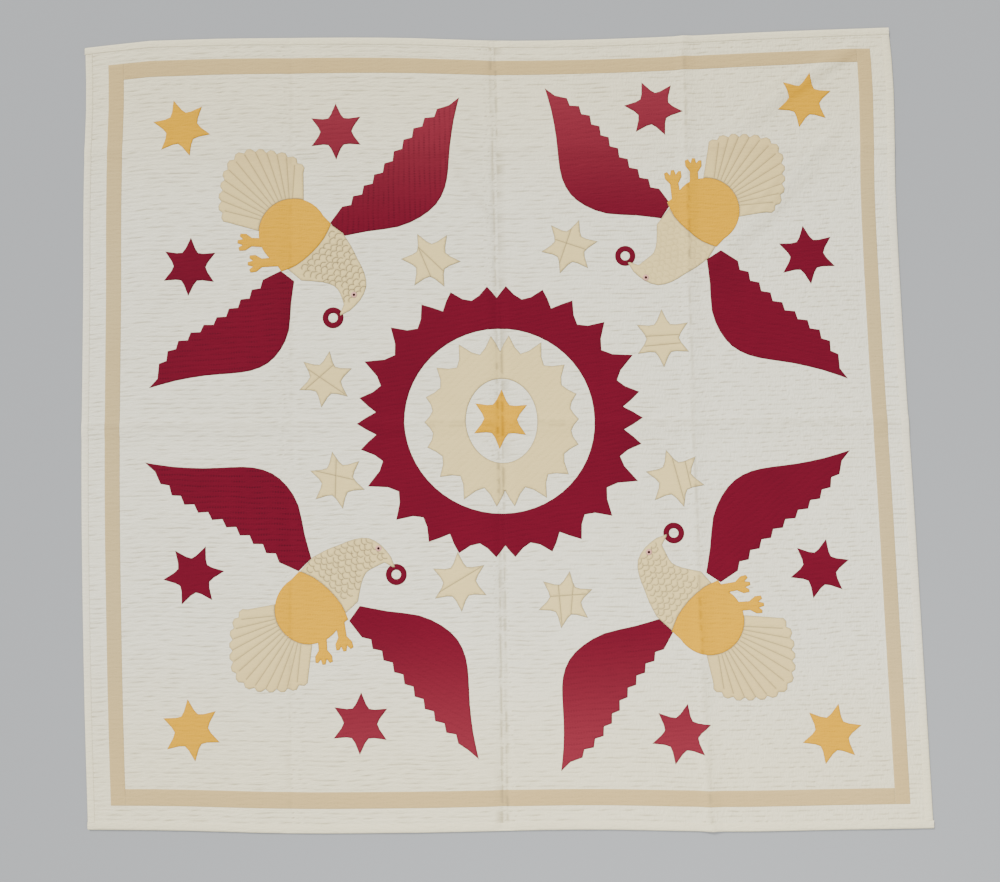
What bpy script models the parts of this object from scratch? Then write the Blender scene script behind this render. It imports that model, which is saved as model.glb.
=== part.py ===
"""A four-eagle applique quilt, laid out flat: one quilted body, binding, frame strips and cut patches.

Metres, +Z up, +X to the quilt's right and +Y to its top. The origin is under the middle of the quilt,
on the surface it lies on. Every patch is a thin sheet that follows the folds of the body under it.
"""

import math

import bpy
import numpy as np
from mathutils import Matrix, Vector
from mathutils.geometry import delaunay_2d_cdt

# Cloth thicknesses, and the gap that sewn layers keep to each other
BODY_THICK = 0.004
PATCH_THICK = 0.001
GAP = 0.0003

# The quilt as cut, before it was pulled out of square
HALF_WIDTH = 1.025
HALF_LENGTH = 0.985

# How far each edge lies outside its straight cut line: place along the edge, out
TOP_EDGE = ((-1.0, -0.001), (-0.96, -0.001), (-0.90, 0.008), (-0.75, 0.011), (-0.5, 0.006),
            (-0.2, -0.005), (0.05, -0.022), (0.4, -0.028), (0.7, -0.025), (1.0, -0.025))
BOTTOM_EDGE = ((-1.0, -0.010), (-0.8, -0.007), (-0.5, 0.002), (-0.2, 0.002), (0.2, -0.003),
               (0.55, 0.004), (0.8, 0.001), (1.0, -0.001))
LEFT_EDGE = ((-1.0, -0.012), (-0.75, -0.004), (-0.5, 0.002), (-0.1, 0.007), (0.3, 0.004),
             (0.7, 0.002), (0.88, -0.003), (1.0, 0.0))
RIGHT_EDGE = ((-1.0, 0.0), (-0.6, -0.007), (-0.2, -0.014), (0.2, -0.023), (0.55, -0.027),
              (0.92, -0.023), (1.0, -0.028))
EDGE_STEPS = 24
# The folded surface is worked out this far from the middle, past every edge
FOLDED_REACH = 1.3

# The binding: a folded strip that wraps the edge and is hemmed down on the front
BINDING_WIDTH = 0.019
BINDING_WALL = 0.0015

# The tan frame: distance of each strip's outer side from the quilt's edge, and its width at both ends
FRAME_TOP = (0.053, 0.042, 0.033)
FRAME_BOTTOM = (0.059, 0.040, 0.038)
FRAME_LEFT = (0.060, 0.037, 0.040)
FRAME_RIGHT = (0.052, 0.035, 0.034)

# Folds and ridges: height, half width, then the crest's places as x, y and share of the height
FOLDS = (
    (-0.0020, 0.030, ((0.015, 1.05, 1.0), (0.018, 0.30, 1.0), (0.016, -0.20, 1.0), (0.009, -1.05, 1.0))),
    (0.0040, 0.032, ((0.492, 1.05, 0.8), (0.492, 0.55, 1.0), (0.488, 0.17, 0.7), (0.490, -0.44, 0.8),
                     (0.503, -1.05, 1.0))),
    (-0.0012, 0.032, ((-0.495, 1.05, 1.0), (-0.505, 0.0, 1.0), (-0.514, -1.05, 1.0))),
    (0.0028, 0.035, ((-1.10, 0.007, 1.0), (0.016, -0.006, 1.0), (1.10, -0.024, 1.0))),
    (0.0020, 0.032, ((-1.10, 0.714, 1.0), (0.03, 0.684, 1.0), (1.10, 0.654, 0.6))),
    (0.0060, 0.030, ((0.585, 0.675, 0.0), (0.665, 0.755, 0.9), (0.760, 0.830, 1.0), (0.885, 0.900, 0.8),
                     (0.950, 0.930, 0.0))),
    (0.0055, 0.028, ((0.535, 0.360, 0.0), (0.605, 0.440, 0.8), (0.720, 0.562, 1.0), (0.830, 0.680, 0.8),
                     (0.880, 0.740, 0.0))),
    (0.0035, 0.026, ((-0.180, 0.795, 0.0), (-0.130, 0.720, 1.0), (-0.035, 0.570, 0.9), (0.010, 0.485, 0.0))),
)
LINES_ACROSS_A_FOLD = (-1.0, -0.5, 0.0, 0.5, 1.0)

# The toothed rings, cut from cloth folded in four: centre, opening's half axes, then the teeth of a quarter
RING_SKEW = 0.03
RED_RING_CENTRE = (0.014, 0.006)
RED_RING_OPENING = (0.234, 0.228)
RED_RING_VALLEY = 0.306
RED_RING_TEETH = ((0.0, 0.352), (10.5, 0.351), (25.0, 0.366), (42.0, 0.356), (57.5, 0.348),
                  (70.5, 0.342), (86.0, 0.335))
TAN_RING_CENTRE = (0.020, 0.006)
TAN_RING_OPENING = (0.088, 0.104)
TAN_RING_VALLEY = 0.172
TAN_RING_TEETH = ((0.0, 0.190), (18.5, 0.196), (40.5, 0.208), (62.0, 0.217), (84.0, 0.212))
# Teeth nearer than this many degrees have a plain notch between them, others a hollow curve
CLOSE_TEETH = 13
CLOSE_SINK = 0.5
HOLLOW_SINK = 0.70
OPENING_SIDES = 56

# Stars: name, x, y, radius to the points, turn of one point from +X in degrees
STARS = (
    ("star_centre", 0.018, 0.010, 0.074, 27),
    ("star_yellow_1", -0.775, 0.766, 0.075, 46),
    ("star_yellow_2", 0.784, 0.783, 0.069, 18),
    ("star_yellow_3", -0.755, -0.737, 0.076, 37),
    ("star_yellow_4", 0.795, -0.761, 0.073, 16),
    ("star_red_1", -0.382, 0.744, 0.072, 30),
    ("star_red_2", -0.756, 0.411, 0.074, 27),
    ("star_red_3", 0.413, 0.775, 0.073, 52),
    ("star_red_4", 0.777, 0.397, 0.073, 36),
    ("star_red_5", -0.748, -0.360, 0.077, 7),
    ("star_red_6", -0.338, -0.725, 0.075, 28),
    ("star_red_7", 0.438, -0.758, 0.074, 17),
    ("star_red_8", 0.780, -0.368, 0.073, 16),
    ("star_tan_1", -0.148, 0.410, 0.075, 56),
    ("star_tan_2", -0.415, 0.119, 0.071, 21),
    ("star_tan_3", 0.197, 0.434, 0.071, 9),
    ("star_tan_4", 0.420, 0.200, 0.072, 31),
    ("star_tan_5", 0.440, -0.144, 0.073, 46),
    ("star_tan_6", 0.167, -0.433, 0.070, 20),
    ("star_tan_7", -0.388, -0.132, 0.072, 40),
    ("star_tan_8", -0.090, -0.386, 0.073, 33),
)
# One point of a star and the hollow side after it: degrees on from the point, share of the radius
STAR_SIDE = ((0, 1.0), (15, 0.645), (30, 0.55), (45, 0.645))

# Eagles: name, x and y of the body, heading in degrees from +X, size against the pattern,
# turn of the head, fullness of the neck, turn of the tail, size of the tail and turn of the legs
EAGLES = (
    ("eagle_top_left", -0.496, 0.484, -46.8, 1.0, 0, 0.06, -6, 1.0, -4),
    ("eagle_top_right", 0.529, 0.516, -134.0, 0.95, 1, 0.18, -2, 1.01, -3),
    ("eagle_bottom_right", 0.515, -0.482, 137.0, 0.96, -10, 0.16, 2, 1.02, 0),
    ("eagle_bottom_left", -0.456, -0.450, 45.5, 0.98, -8, 0.16, 1, 1.01, 1),
)

# Wings: name, x and y of the root, x and y of the tip, side the belly is on (1 is the left of root to tip),
# shift of the belly towards the tip, depth of the belly and sag of the toothed edge
WINGS = (
    ("eagle_top_left_left_wing", -0.399, 0.512, -0.070, 0.821, -1, 0.03, 0.99, 0.9),
    ("eagle_top_left_right_wing", -0.525, 0.394, -0.860, 0.107, 1, -0.06, 1.01, 1.5),
    ("eagle_top_right_left_wing", 0.568, 0.414, 0.865, 0.090, -1, -0.03, 0.96, 1.3),
    ("eagle_top_right_right_wing", 0.449, 0.533, 0.145, 0.836, 1, 0.0, 1.02, 1.0),
    ("eagle_bottom_right_left_wing", 0.425, -0.514, 0.147, -0.843, -1, 0.03, 1.02, 1.0),
    ("eagle_bottom_right_right_wing", 0.542, -0.397, 0.863, -0.084, 1, -0.01, 0.95, 1.1),
    ("eagle_bottom_left_left_wing", -0.487, -0.354, -0.870, -0.079, -1, -0.05, 0.98, 1.0),
    ("eagle_bottom_left_right_wing", -0.363, -0.477, -0.051, -0.813, 1, 0.01, 1.02, 0.5),
)

# The eagle's pattern: u to the bird's right, v ahead, from the middle of its round body
BODY_CENTRE = (-0.006, -0.002)
BODY_RADIUS = 0.087
BODY_ARC = (165, 375)
BODY_ARC_STEPS = 24
BODY_FRONT = ((0.083, 0.048), (0.045, 0.063), (-0.004, 0.068), (-0.052, 0.063), (-0.090, 0.049))
# Legs: where each leaves the body, and its turn; then one leg along and across, from the body to three toes
LEGS = ((0.069, -0.034, -43), (0.081, 0.021, -37))
LEG = ((-0.025, -0.012), (0.027, -0.011), (0.042, -0.021), (0.057, -0.021), (0.058, -0.014),
       (0.050, -0.007), (0.063, -0.004), (0.063, 0.004), (0.050, 0.008), (0.060, 0.015),
       (0.057, 0.023), (0.042, 0.022), (0.027, 0.011), (-0.025, 0.012))
NECK_OUTER = ((-0.094, 0.086), (-0.087, 0.124), (-0.076, 0.159), (-0.064, 0.196), (-0.043, 0.226),
              (-0.008, 0.240), (0.028, 0.241))
NECK_INNER = ((0.013, 0.196), (0.010, 0.169), (0.026, 0.138), (0.062, 0.096))
NECK_HOLLOW = (0.075, 0.165)
BEAK_UNDER = (0.029, 0.219)
BEAK_TIP = ((0.054, 0.233), (0.052, 0.229))
NECK_BASE = ((0.070, 0.030), (-0.084, 0.030))
NECK_PIVOT = (-0.004, 0.060)
# The wing's pattern in shares of its length, root to tip: leading edge, then toothed edge
WING_LEADING = ((-0.018, 0.095), (0.100, 0.180), (0.230, 0.285), (0.350, 0.335), (0.460, 0.345), (0.560, 0.312),
                (0.650, 0.248), (0.755, 0.160), (0.880, 0.070), (1.000, 0.0))
WING_BACK = ((0.0, 0.0), (0.10, -0.020), (0.26, -0.020), (0.44, -0.030), (0.60, -0.052), (0.75, -0.062),
             (0.89, -0.040))
WING_TIP_NOTCH = (0.928, -0.008)
WING_FIRST_TOOTH = 0.110
WING_TOOTH_PITCH = 0.084
WING_TEETH = 10
WING_TOOTH_DEPTH = 0.028
# The fan is a little squared: its edge stands further out at its middle and at both ends
TAIL_CENTRE = (-0.008, -0.130)
TAIL_RADIUS = 0.1135
TAIL_SQUARENESS = 0.006
TAIL_ARC = (168, 362)
TAIL_MIDDLE = 268
TAIL_SCALLOPS = 13
TAIL_SCALLOP_DEPTH = 0.009
TAIL_ROOT = ((0.048, -0.045), (-0.069, -0.040))
BEAK_RING_CENTRE = (0.071, 0.224)
BEAK_RING_RADIUS = 0.0265
BEAK_RING_HOLE = 0.012
BEAK_RING_SIDES = 24
BEAK_HOLE_SIDES = 12

# Cloths: base colour and roughness
GROUND_COTTON = ((0.70, 0.71, 0.66, 1.0), 0.90)
BINDING_COTTON = ((0.71, 0.69, 0.62, 1.0), 0.90)
TAN_COTTON = ((0.70, 0.58, 0.41, 1.0), 0.90)
RED_COTTON = ((0.30, 0.012, 0.035, 1.0), 0.85)
YELLOW_COTTON = ((0.80, 0.46, 0.05, 1.0), 0.85)


def clear_scene():
    for old in list(bpy.data.objects):
        bpy.data.objects.remove(old, do_unlink=True)


def cloth(name, finish):
    colour, roughness = finish
    material = bpy.data.materials.new(name)
    material.use_nodes = True
    surface = material.node_tree.nodes["Principled BSDF"]
    surface.inputs["Base Color"].default_value = colour
    surface.inputs["Roughness"].default_value = roughness
    surface.inputs["Metallic"].default_value = 0.0
    material.diffuse_color = colour
    return material


# Lines and outlines, all flat


def on_circle(centre, radius, degrees):
    angle = math.radians(degrees)
    return (centre[0] + radius * math.cos(angle), centre[1] + radius * math.sin(angle))


def arc(centre, radius, start, end, steps):
    return [on_circle(centre, radius, start + (end - start) * i / steps) for i in range(steps + 1)]


def ellipse(centre, half_axes):
    turns = [2 * math.pi * i / OPENING_SIDES for i in range(OPENING_SIDES)]
    return [(centre[0] + half_axes[0] * math.cos(a), centre[1] + half_axes[1] * math.sin(a)) for a in turns]


def curve(points, steps=2):
    """A smooth line through the points (Catmull-Rom), with so many steps between each two."""
    padded = [points[0], *points, points[-1]]
    line = []
    for before, start, end, after in zip(padded, padded[1:], padded[2:], padded[3:]):
        for step in range(steps):
            t = step / steps
            line.append(tuple(
                0.5 * (2 * b + (c - a) * t + (2 * a - 5 * b + 4 * c - d) * t * t + (3 * b - a - 3 * c + d) * t ** 3)
                for a, b, c, d in zip(before, start, end, after)
            ))
    return [*line, points[-1]]


def anticlockwise(outline):
    area = sum(a[0] * b[1] - b[0] * a[1] for a, b in zip(outline, outline[1:] + outline[:1]))
    return outline if area > 0 else outline[::-1]


def grown(outline, by):
    """The outline pushed outwards by a small distance along each corner's bisector."""
    outline = anticlockwise(outline)
    pushed = []
    for before, here, after in zip(outline[-1:] + outline[:-1], outline, outline[1:] + outline[:1]):
        first = Vector((here[1] - before[1], before[0] - here[0])).normalized()
        second = Vector((after[1] - here[1], here[0] - after[0])).normalized()
        bisector = (first + second).normalized()
        reach = by / max(0.35, bisector.dot(first))
        pushed.append((here[0] + bisector.x * reach, here[1] + bisector.y * reach))
    return pushed


# The quilt's uneven rectangle


def eased(table, share):
    """A smooth line through an edge's table."""
    places, outs = np.array(table).T
    slopes = np.gradient(outs, places)
    row = int(np.clip(np.searchsorted(places, share) - 1, 0, len(places) - 2))
    run = places[row + 1] - places[row]
    t = min(1.0, max(0.0, (share - places[row]) / run))
    rise = outs[row + 1] - outs[row]
    start = slopes[row] * run
    end = slopes[row + 1] * run
    return float(outs[row] + start * t + (3 * rise - 2 * start - end) * t ** 2 + (start + end - 2 * rise) * t ** 3)


def pull(table, share):
    """How far an edge is pulled out at this share of its length, straight from one edge step to the next."""
    step = (share + 1) / 2 * EDGE_STEPS
    low = min(EDGE_STEPS - 1, max(0, math.floor(step)))
    start, end = (eased(table, 2 * (low + i) / EDGE_STEPS - 1) for i in (0, 1))
    return start + (end - start) * (step - low)


def laid(x, y):
    """Where a point of the square-cut quilt lies, once its four edges are pulled out of true."""
    across = x / HALF_WIDTH
    along = y / HALF_LENGTH
    right = pull(RIGHT_EDGE, along) * (1 + across) / 2
    left = pull(LEFT_EDGE, along) * (1 - across) / 2
    top = pull(TOP_EDGE, across) * (1 + along) / 2
    bottom = pull(BOTTOM_EDGE, across) * (1 - along) / 2
    return (x + right - left, y + top - bottom)


def laid_line(start, end):
    """A straight cut line as it lies, with a corner at each edge step, up to but not including its end."""
    run = Vector(end) - Vector(start)
    axis, half = (0, HALF_WIDTH) if abs(run.x) > abs(run.y) else (1, HALF_LENGTH)
    shares = [(half * (2 * i / EDGE_STEPS - 1) - start[axis]) / run[axis] for i in range(EDGE_STEPS + 1)]
    shares = [0.0] + sorted(share for share in shares if 0.001 < share < 0.999)
    return [laid(start[0] + run.x * share, start[1] + run.y * share) for share in shares]


def laid_outline(corners):
    outline = []
    for start, end in zip(corners, corners[1:] + corners[:1]):
        outline += laid_line(start, end)
    return outline


def laid_rectangle(left, bottom, right, top):
    return laid_outline([(left, bottom), (right, bottom), (right, top), (left, top)])


# The folded surface: flat triangles between the fold lines, each corner at its own height


def fold_height(fold, x, y):
    height, half_width, crest = fold
    found = 0.0
    for start, end in zip(crest, crest[1:]):
        run = Vector((end[0] - start[0], end[1] - start[1]))
        along = (Vector((x - start[0], y - start[1])).dot(run)) / run.length_squared
        along = min(1.0, max(0.0, along))
        foot = Vector(start[:2]) + run * along
        away = (Vector((x, y)) - foot).length / half_width
        if away < 1.0:
            share = start[2] + (end[2] - start[2]) * along
            found = max(found, share * math.cos(math.pi / 2 * away) ** 2)
    return height * found


def top_height(x, y):
    return BODY_THICK + sum(fold_height(fold, x, y) for fold in FOLDS)


def fold_line(crest, offset):
    """A fold's crest moved sideways by an offset, its corners kept on their bisectors."""
    places = [Vector(row[:2]) for row in crest]
    runs = [(b - a).normalized() for a, b in zip(places, places[1:])]
    line = []
    for place, before, after in zip(places, runs[:1] + runs, runs + runs[-1:]):
        along = (before + after).normalized()
        line.append((place.x - along.y * offset, place.y + along.x * offset))
    return line


def folded_surface():
    """Points with heights, and triangles, of the whole folded top, a little past the quilt's edges."""
    reach = FOLDED_REACH
    points = [(-reach, -reach), (reach, -reach), (reach, reach), (-reach, reach)]
    edges = [(0, 1), (1, 2), (2, 3), (3, 0)]
    for _, half_width, crest in FOLDS:
        for share in LINES_ACROSS_A_FOLD:
            line = fold_line(crest, share * half_width)
            first = len(points)
            points += line
            edges += [(first + i, first + i + 1) for i in range(len(line) - 1)]
    vertices, _, triangles, *_ = delaunay_2d_cdt([Vector(p) for p in points], edges, [], 0, 1e-6)
    flat = np.array([tuple(v) for v in vertices])
    return flat, np.array([top_height(x, y) for x, y in flat]), np.array(triangles)


class FoldedTop:
    """The folded surface, asked for heights and for the lines where it bends."""

    def __init__(self):
        self.points, self.heights, self.triangles = folded_surface()
        a, b, c = (self.points[self.triangles[:, i]] for i in range(3))
        self.origin = a
        self.frame = np.linalg.inv(np.stack([b - a, c - a], axis=2))
        self.bends = self.find_bends()

    def find_bends(self):
        """Every edge of a triangle that isn't level."""
        level = np.ptp(self.heights[self.triangles], axis=1) < 1e-7
        pairs = {
            tuple(sorted((int(t[i]), int(t[i - 1]))))
            for t in self.triangles[~level]
            for i in range(3)
        }
        return [(self.points[a], self.points[b]) for a, b in sorted(pairs)]

    def heights_at(self, points, found):
        """The top's height at each point that the triangles use, by the point's number."""
        used = {i for triangles in found for triangle in triangles for i in triangle}
        return {i: self.height(*points[i]) for i in sorted(used)}

    def height(self, x, y):
        weights = np.einsum("nij,nj->ni", self.frame, np.array((x, y)) - self.origin)
        weights = np.c_[1 - weights.sum(axis=1), weights]
        inside = int(np.argmax(weights.min(axis=1)))
        return float(self.heights[self.triangles[inside]] @ weights[inside])


def cut_region(surface, own, away=()):
    """Flat triangles inside own's outlines and outside those of away, split where the top bends.

    They come as one list for each outline of own; where outlines of own overlap, the first has them.
    """
    points = []
    faces = []
    for outline in [*own, *away]:
        faces.append(list(range(len(points), len(points) + len(outline))))
        points += anticlockwise(outline)
    reach = np.array([p for outline in own for p in outline])
    low = reach.min(axis=0) - 0.001
    high = reach.max(axis=0) + 0.001
    edges = []
    for start, end in surface.bends:
        if (np.maximum(start, end) < low).any() or (np.minimum(start, end) > high).any():
            continue
        edges.append((len(points), len(points) + 1))
        points += [tuple(start), tuple(end)]
    found = delaunay_2d_cdt([Vector(p) for p in points], edges, faces, 0, 1e-6)
    vertices, triangles, sources = found[0], found[2], found[5]
    kept = [[] for _ in own]
    for triangle, source in zip(triangles, sources):
        if source and max(source) < len(own):
            kept[min(source)].append(list(triangle))
    return [tuple(v) for v in vertices], kept


def closed_solid(name, points, zones, material):
    """One closed body over flat triangles. A zone is its triangles, and its low and high heights by point."""
    places = []
    numbers = {}
    stacks = {}
    faces = []
    sides = {}

    def corner(index, height):
        key = (index, round(height, 7))
        if key not in numbers:
            numbers[key] = len(places)
            places.append((*points[index], height))
            stacks.setdefault(index, []).append(key[1])
        return numbers[key]

    def upright(index, low, high):
        """The corners over one point from low to high, with any that another zone has between them."""
        return [numbers[index, z] for z in sorted(stacks[index]) if round(low, 7) <= z <= round(high, 7)]

    for triangles, low, high in zones:
        for triangle in triangles:
            faces.append([corner(i, high[i]) for i in triangle])
            faces.append([corner(i, low[i]) for i in reversed(triangle)])
            for a, b in zip(triangle, triangle[1:] + triangle[:1]):
                sides.setdefault(frozenset((a, b)), []).append((a, b, low, high))
    for users in sides.values():
        a, b, low, high = min(users, key=lambda user: user[2][user[0]] + user[2][user[1]])
        if len(users) == 1:
            over = high
        elif users[0][2] is not users[1][2]:
            over = max(users, key=lambda user: user[2][user[0]] + user[2][user[1]])[2]
        else:
            continue
        faces.append([*upright(b, low[b], over[b]), *reversed(upright(a, low[a], over[a]))])

    mesh = bpy.data.meshes.new(name)
    mesh.from_pydata(places, [], faces)
    mesh.materials.append(material)
    made = bpy.data.objects.new(name, mesh)
    bpy.context.scene.collection.objects.link(made)
    return made


def patch(surface, name, material, own, away=()):
    """A sheet of cloth sewn on the body's top: it lies a gap above it, wherever the top goes."""
    points, found = cut_region(surface, own, away)
    top = surface.heights_at(points, found)
    low = {i: z + GAP for i, z in top.items()}
    high = {i: z + GAP + PATCH_THICK for i, z in top.items()}
    return closed_solid(name, points, [(triangles, low, high) for triangles in found], material)


# The body, its binding and the frame


def make_body(surface, material):
    inset = BINDING_WALL + GAP
    outline = laid_rectangle(-HALF_WIDTH + inset, -HALF_LENGTH + inset, HALF_WIDTH - inset, HALF_LENGTH - inset)
    points, found = cut_region(surface, [outline])
    high = surface.heights_at(points, found)
    low = {i: max(0.0, z - BODY_THICK) for i, z in high.items()}
    return closed_solid("quilt_body", points, [(found[0], low, high)], material)


def make_binding(surface, side, wall_box, flap_box, material):
    """One strip in an L: a wall outside the body's edge, down to the ground, and a flap on its front."""
    points, (wall, flap) = cut_region(surface, [laid_rectangle(*wall_box), laid_rectangle(*flap_box)])
    top = surface.heights_at(points, [wall, flap])
    high = {i: z + GAP + PATCH_THICK for i, z in top.items()}
    under = {i: z + GAP for i, z in top.items()}
    ground = dict.fromkeys(top, 0.0)
    return closed_solid(f"binding_{side}", points, [(wall, ground, high), (flap, under, high)], material)


def make_bindings(surface, material):
    """Top and bottom strips run the full width; the side strips end against them."""
    w, h, wall, flap = HALF_WIDTH, HALF_LENGTH, BINDING_WALL, BINDING_WIDTH
    side_end = h - flap - GAP
    make_binding(surface, "top", (-w, h - wall, w, h), (-w, h - flap, w, h - wall), material)
    make_binding(surface, "bottom", (-w, -h, w, -h + wall), (-w, -h + wall, w, -h + flap), material)
    make_binding(surface, "left", (-w, -side_end, -w + wall, side_end),
                 (-w + wall, -side_end, -w + flap, side_end), material)
    make_binding(surface, "right", (w - wall, -side_end, w, side_end),
                 (w - flap, -side_end, w - wall, side_end), material)


def make_frame(surface, material):
    """Four straight strips: the side strips run the full height; top and bottom butt against them."""
    left = -HALF_WIDTH + FRAME_LEFT[0]
    right = HALF_WIDTH - FRAME_RIGHT[0]
    bottom = -HALF_LENGTH + FRAME_BOTTOM[0]
    top = HALF_LENGTH - FRAME_TOP[0]
    low_left, low_right = left + FRAME_LEFT[1], right - FRAME_RIGHT[1]
    high_left, high_right = left + FRAME_LEFT[2], right - FRAME_RIGHT[2]
    strips = {
        "left": [(left, bottom), (low_left, bottom), (high_left, top), (left, top)],
        "right": [(low_right, bottom), (right, bottom), (right, top), (high_right, top)],
        "bottom": [(low_left + GAP, bottom), (low_right - GAP, bottom),
                   (low_right - GAP, bottom + FRAME_BOTTOM[2]), (low_left + GAP, bottom + FRAME_BOTTOM[1])],
        "top": [(high_left + GAP, top - FRAME_TOP[1]), (high_right - GAP, top - FRAME_TOP[2]),
                (high_right - GAP, top), (high_left + GAP, top)],
    }
    sides = [grown(laid_outline(strips[side]), GAP) for side in ("left", "right")]
    for side, corners in strips.items():
        away = sides if side in ("bottom", "top") else ()
        patch(surface, f"frame_{side}", material, [laid_outline(corners)], away)


# Rings and stars


def all_round(quarter):
    """A quarter's teeth, mirrored across both folds of the cloth."""
    teeth = set(quarter)
    teeth |= {(180 - angle, radius) for angle, radius in teeth}
    teeth |= {(-angle % 360, radius) for angle, radius in teeth}
    return sorted(teeth)


def skewed(outline, centre):
    """The ring's lower half slid a little to the right, more and more towards its foot."""
    return [(x + RING_SKEW * max(0.0, centre[1] - y), y) for x, y in outline]


def toothed_outline(centre, valley, quarter):
    """Sharp teeth with hollow curves between them, and plain notches where two teeth stand close."""
    teeth = all_round(quarter)
    outline = []
    for (angle, radius), (next_angle, next_radius) in zip(teeth, teeth[1:] + [(teeth[0][0] + 360, teeth[0][1])]):
        run = next_angle - angle
        shoulder = HOLLOW_SINK if run > CLOSE_TEETH else CLOSE_SINK
        outline.append(on_circle(centre, radius, angle))
        for share, sink in ((0.25, shoulder), (0.5, 1.0), (0.75, shoulder)):
            straight = radius + (next_radius - radius) * share
            reach = straight + (valley - straight) * sink
            outline.append(on_circle(centre, reach, angle + run * share))
    return skewed(outline, centre)


def make_rings(surface, red, tan):
    patch(surface, "ring_red", red, [toothed_outline(RED_RING_CENTRE, RED_RING_VALLEY, RED_RING_TEETH)],
          [skewed(ellipse(RED_RING_CENTRE, RED_RING_OPENING), RED_RING_CENTRE)])
    patch(surface, "ring_tan", tan, [toothed_outline(TAN_RING_CENTRE, TAN_RING_VALLEY, TAN_RING_TEETH)],
          [skewed(ellipse(TAN_RING_CENTRE, TAN_RING_OPENING), TAN_RING_CENTRE)])


def make_star(surface, name, x, y, radius, turn, material):
    """Six thin points with a hollow curve between each two."""
    corners = []
    for point in range(6):
        for degrees, share in STAR_SIDE:
            corners.append(on_circle((x, y), radius * share, turn + 60 * point + degrees))
    patch(surface, name, material, [corners])


# The eagles


def placed(outline, eagle, turn=0.0, pivot=(0.0, 0.0), stretch=1.0):
    """A pattern outline moved to an eagle's place, after a small turn about a point of the pattern."""
    x, y, heading, size = eagle[1:5]
    ahead = Vector((math.cos(math.radians(heading)), math.sin(math.radians(heading))))
    right = Vector((ahead.y, -ahead.x))
    swing = Matrix.Rotation(math.radians(turn), 2) * stretch
    centre = Vector(pivot)
    moved = []
    for corner in outline:
        u, v = swing @ (Vector(corner) - centre) + centre
        moved.append(tuple(Vector((x, y)) + (right * u + ahead * v) * size))
    return moved


def leg_outline(u, v, degrees):
    angle = math.radians(degrees)
    return [(u + s * math.cos(angle) - t * math.sin(angle), v + s * math.sin(angle) + t * math.cos(angle))
            for s, t in LEG]


def wing_pattern(shift, depth, sag):
    """The leading edge as one curve to the tip, then sharp teeth back, and a plain edge at the root."""
    leading = [(t + shift * math.sin(math.pi * max(0.0, t)), out * depth) for t, out in WING_LEADING]
    back = np.array(curve([(t, out * sag) for t, out in WING_BACK], 4))
    outline = [*curve(leading), WING_TIP_NOTCH]
    for half_tooth in range(2 * (WING_TEETH - 1), -1, -1):
        t = WING_FIRST_TOOTH + WING_TOOTH_PITCH * half_tooth / 2
        out = float(np.interp(t, back[:, 0], back[:, 1]))
        outline.append((t, out + WING_TOOTH_DEPTH * (half_tooth % 2)))
    return [*outline, WING_BACK[0]]


def wing_outline(row):
    """A wing's pattern laid from its root to its tip."""
    root, tip = Vector(row[1:3]), Vector(row[3:5])
    along = tip - root
    across = Vector((-along.y, along.x)) * row[5]
    return [tuple(root + along * t + across * out) for t, out in wing_pattern(*row[6:])]


def tail_outline():
    """A fan with a scalloped edge."""
    start, end = TAIL_ARC
    outline = []
    for step in range(3 * TAIL_SCALLOPS + 1):
        bulge = abs(math.sin(math.pi * step / 3))
        angle = start + (end - start) * step / (3 * TAIL_SCALLOPS)
        squared = TAIL_SQUARENESS * math.cos(math.radians(4 * (angle - TAIL_MIDDLE)))
        radius = TAIL_RADIUS + squared + TAIL_SCALLOP_DEPTH * (bulge - 0.5)
        outline.append(on_circle(TAIL_CENTRE, radius, angle))
    return outline + list(TAIL_ROOT)


def head_outline(fullness):
    """Neck, head and beak; a full neck fills part of the hollow under the beak."""
    hollow = Vector(NECK_HOLLOW)
    inner = [tuple(Vector(place).lerp(hollow, fullness)) for place in NECK_INNER]
    inner = curve([*inner[::-1], BEAK_UNDER])
    return curve(NECK_OUTER)[::-1] + list(NECK_BASE[::-1]) + inner + list(BEAK_TIP[::-1])


def circle(radius, sides):
    """A circle round the middle of the ring that the beak holds."""
    return [on_circle(BEAK_RING_CENTRE, radius, 360 * i / sides) for i in range(sides)]


def make_eagle(surface, eagle, red, tan, yellow):
    """Body and legs in one piece lie over all the rest; the head lies over the wings and the beak's ring."""
    name = eagle[0]
    head_turn, fullness, tail_turn, tail_size, leg_turn = eagle[5:]
    body = placed(arc(BODY_CENTRE, BODY_RADIUS, *BODY_ARC, BODY_ARC_STEPS) + curve(BODY_FRONT), eagle)
    legs = [placed(leg_outline(*leg), eagle, leg_turn) for leg in LEGS]
    head = placed(head_outline(fullness), eagle, head_turn, NECK_PIVOT)
    ring = [placed(circle(BEAK_RING_RADIUS, BEAK_RING_SIDES), eagle, head_turn, NECK_PIVOT)]
    hole = placed(circle(BEAK_RING_HOLE, BEAK_HOLE_SIDES), eagle, head_turn, NECK_PIVOT)
    tail = placed(tail_outline(), eagle, tail_turn, stretch=tail_size)
    over_tail = [grown(outline, GAP) for outline in (body, *legs)]
    over_wings = [*over_tail, grown(head, GAP)]
    patch(surface, f"{name}_body", yellow, [body, *legs])
    patch(surface, f"{name}_head", tan, [head], over_tail[:1])
    patch(surface, f"{name}_tail", tan, [tail], over_tail)
    for wing in WINGS:
        if wing[0].startswith(name):
            patch(surface, wing[0], red, [wing_outline(wing)], over_wings)
    patch(surface, f"{name}_beak_ring", red, ring, [hole, over_wings[-1]])


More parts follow.
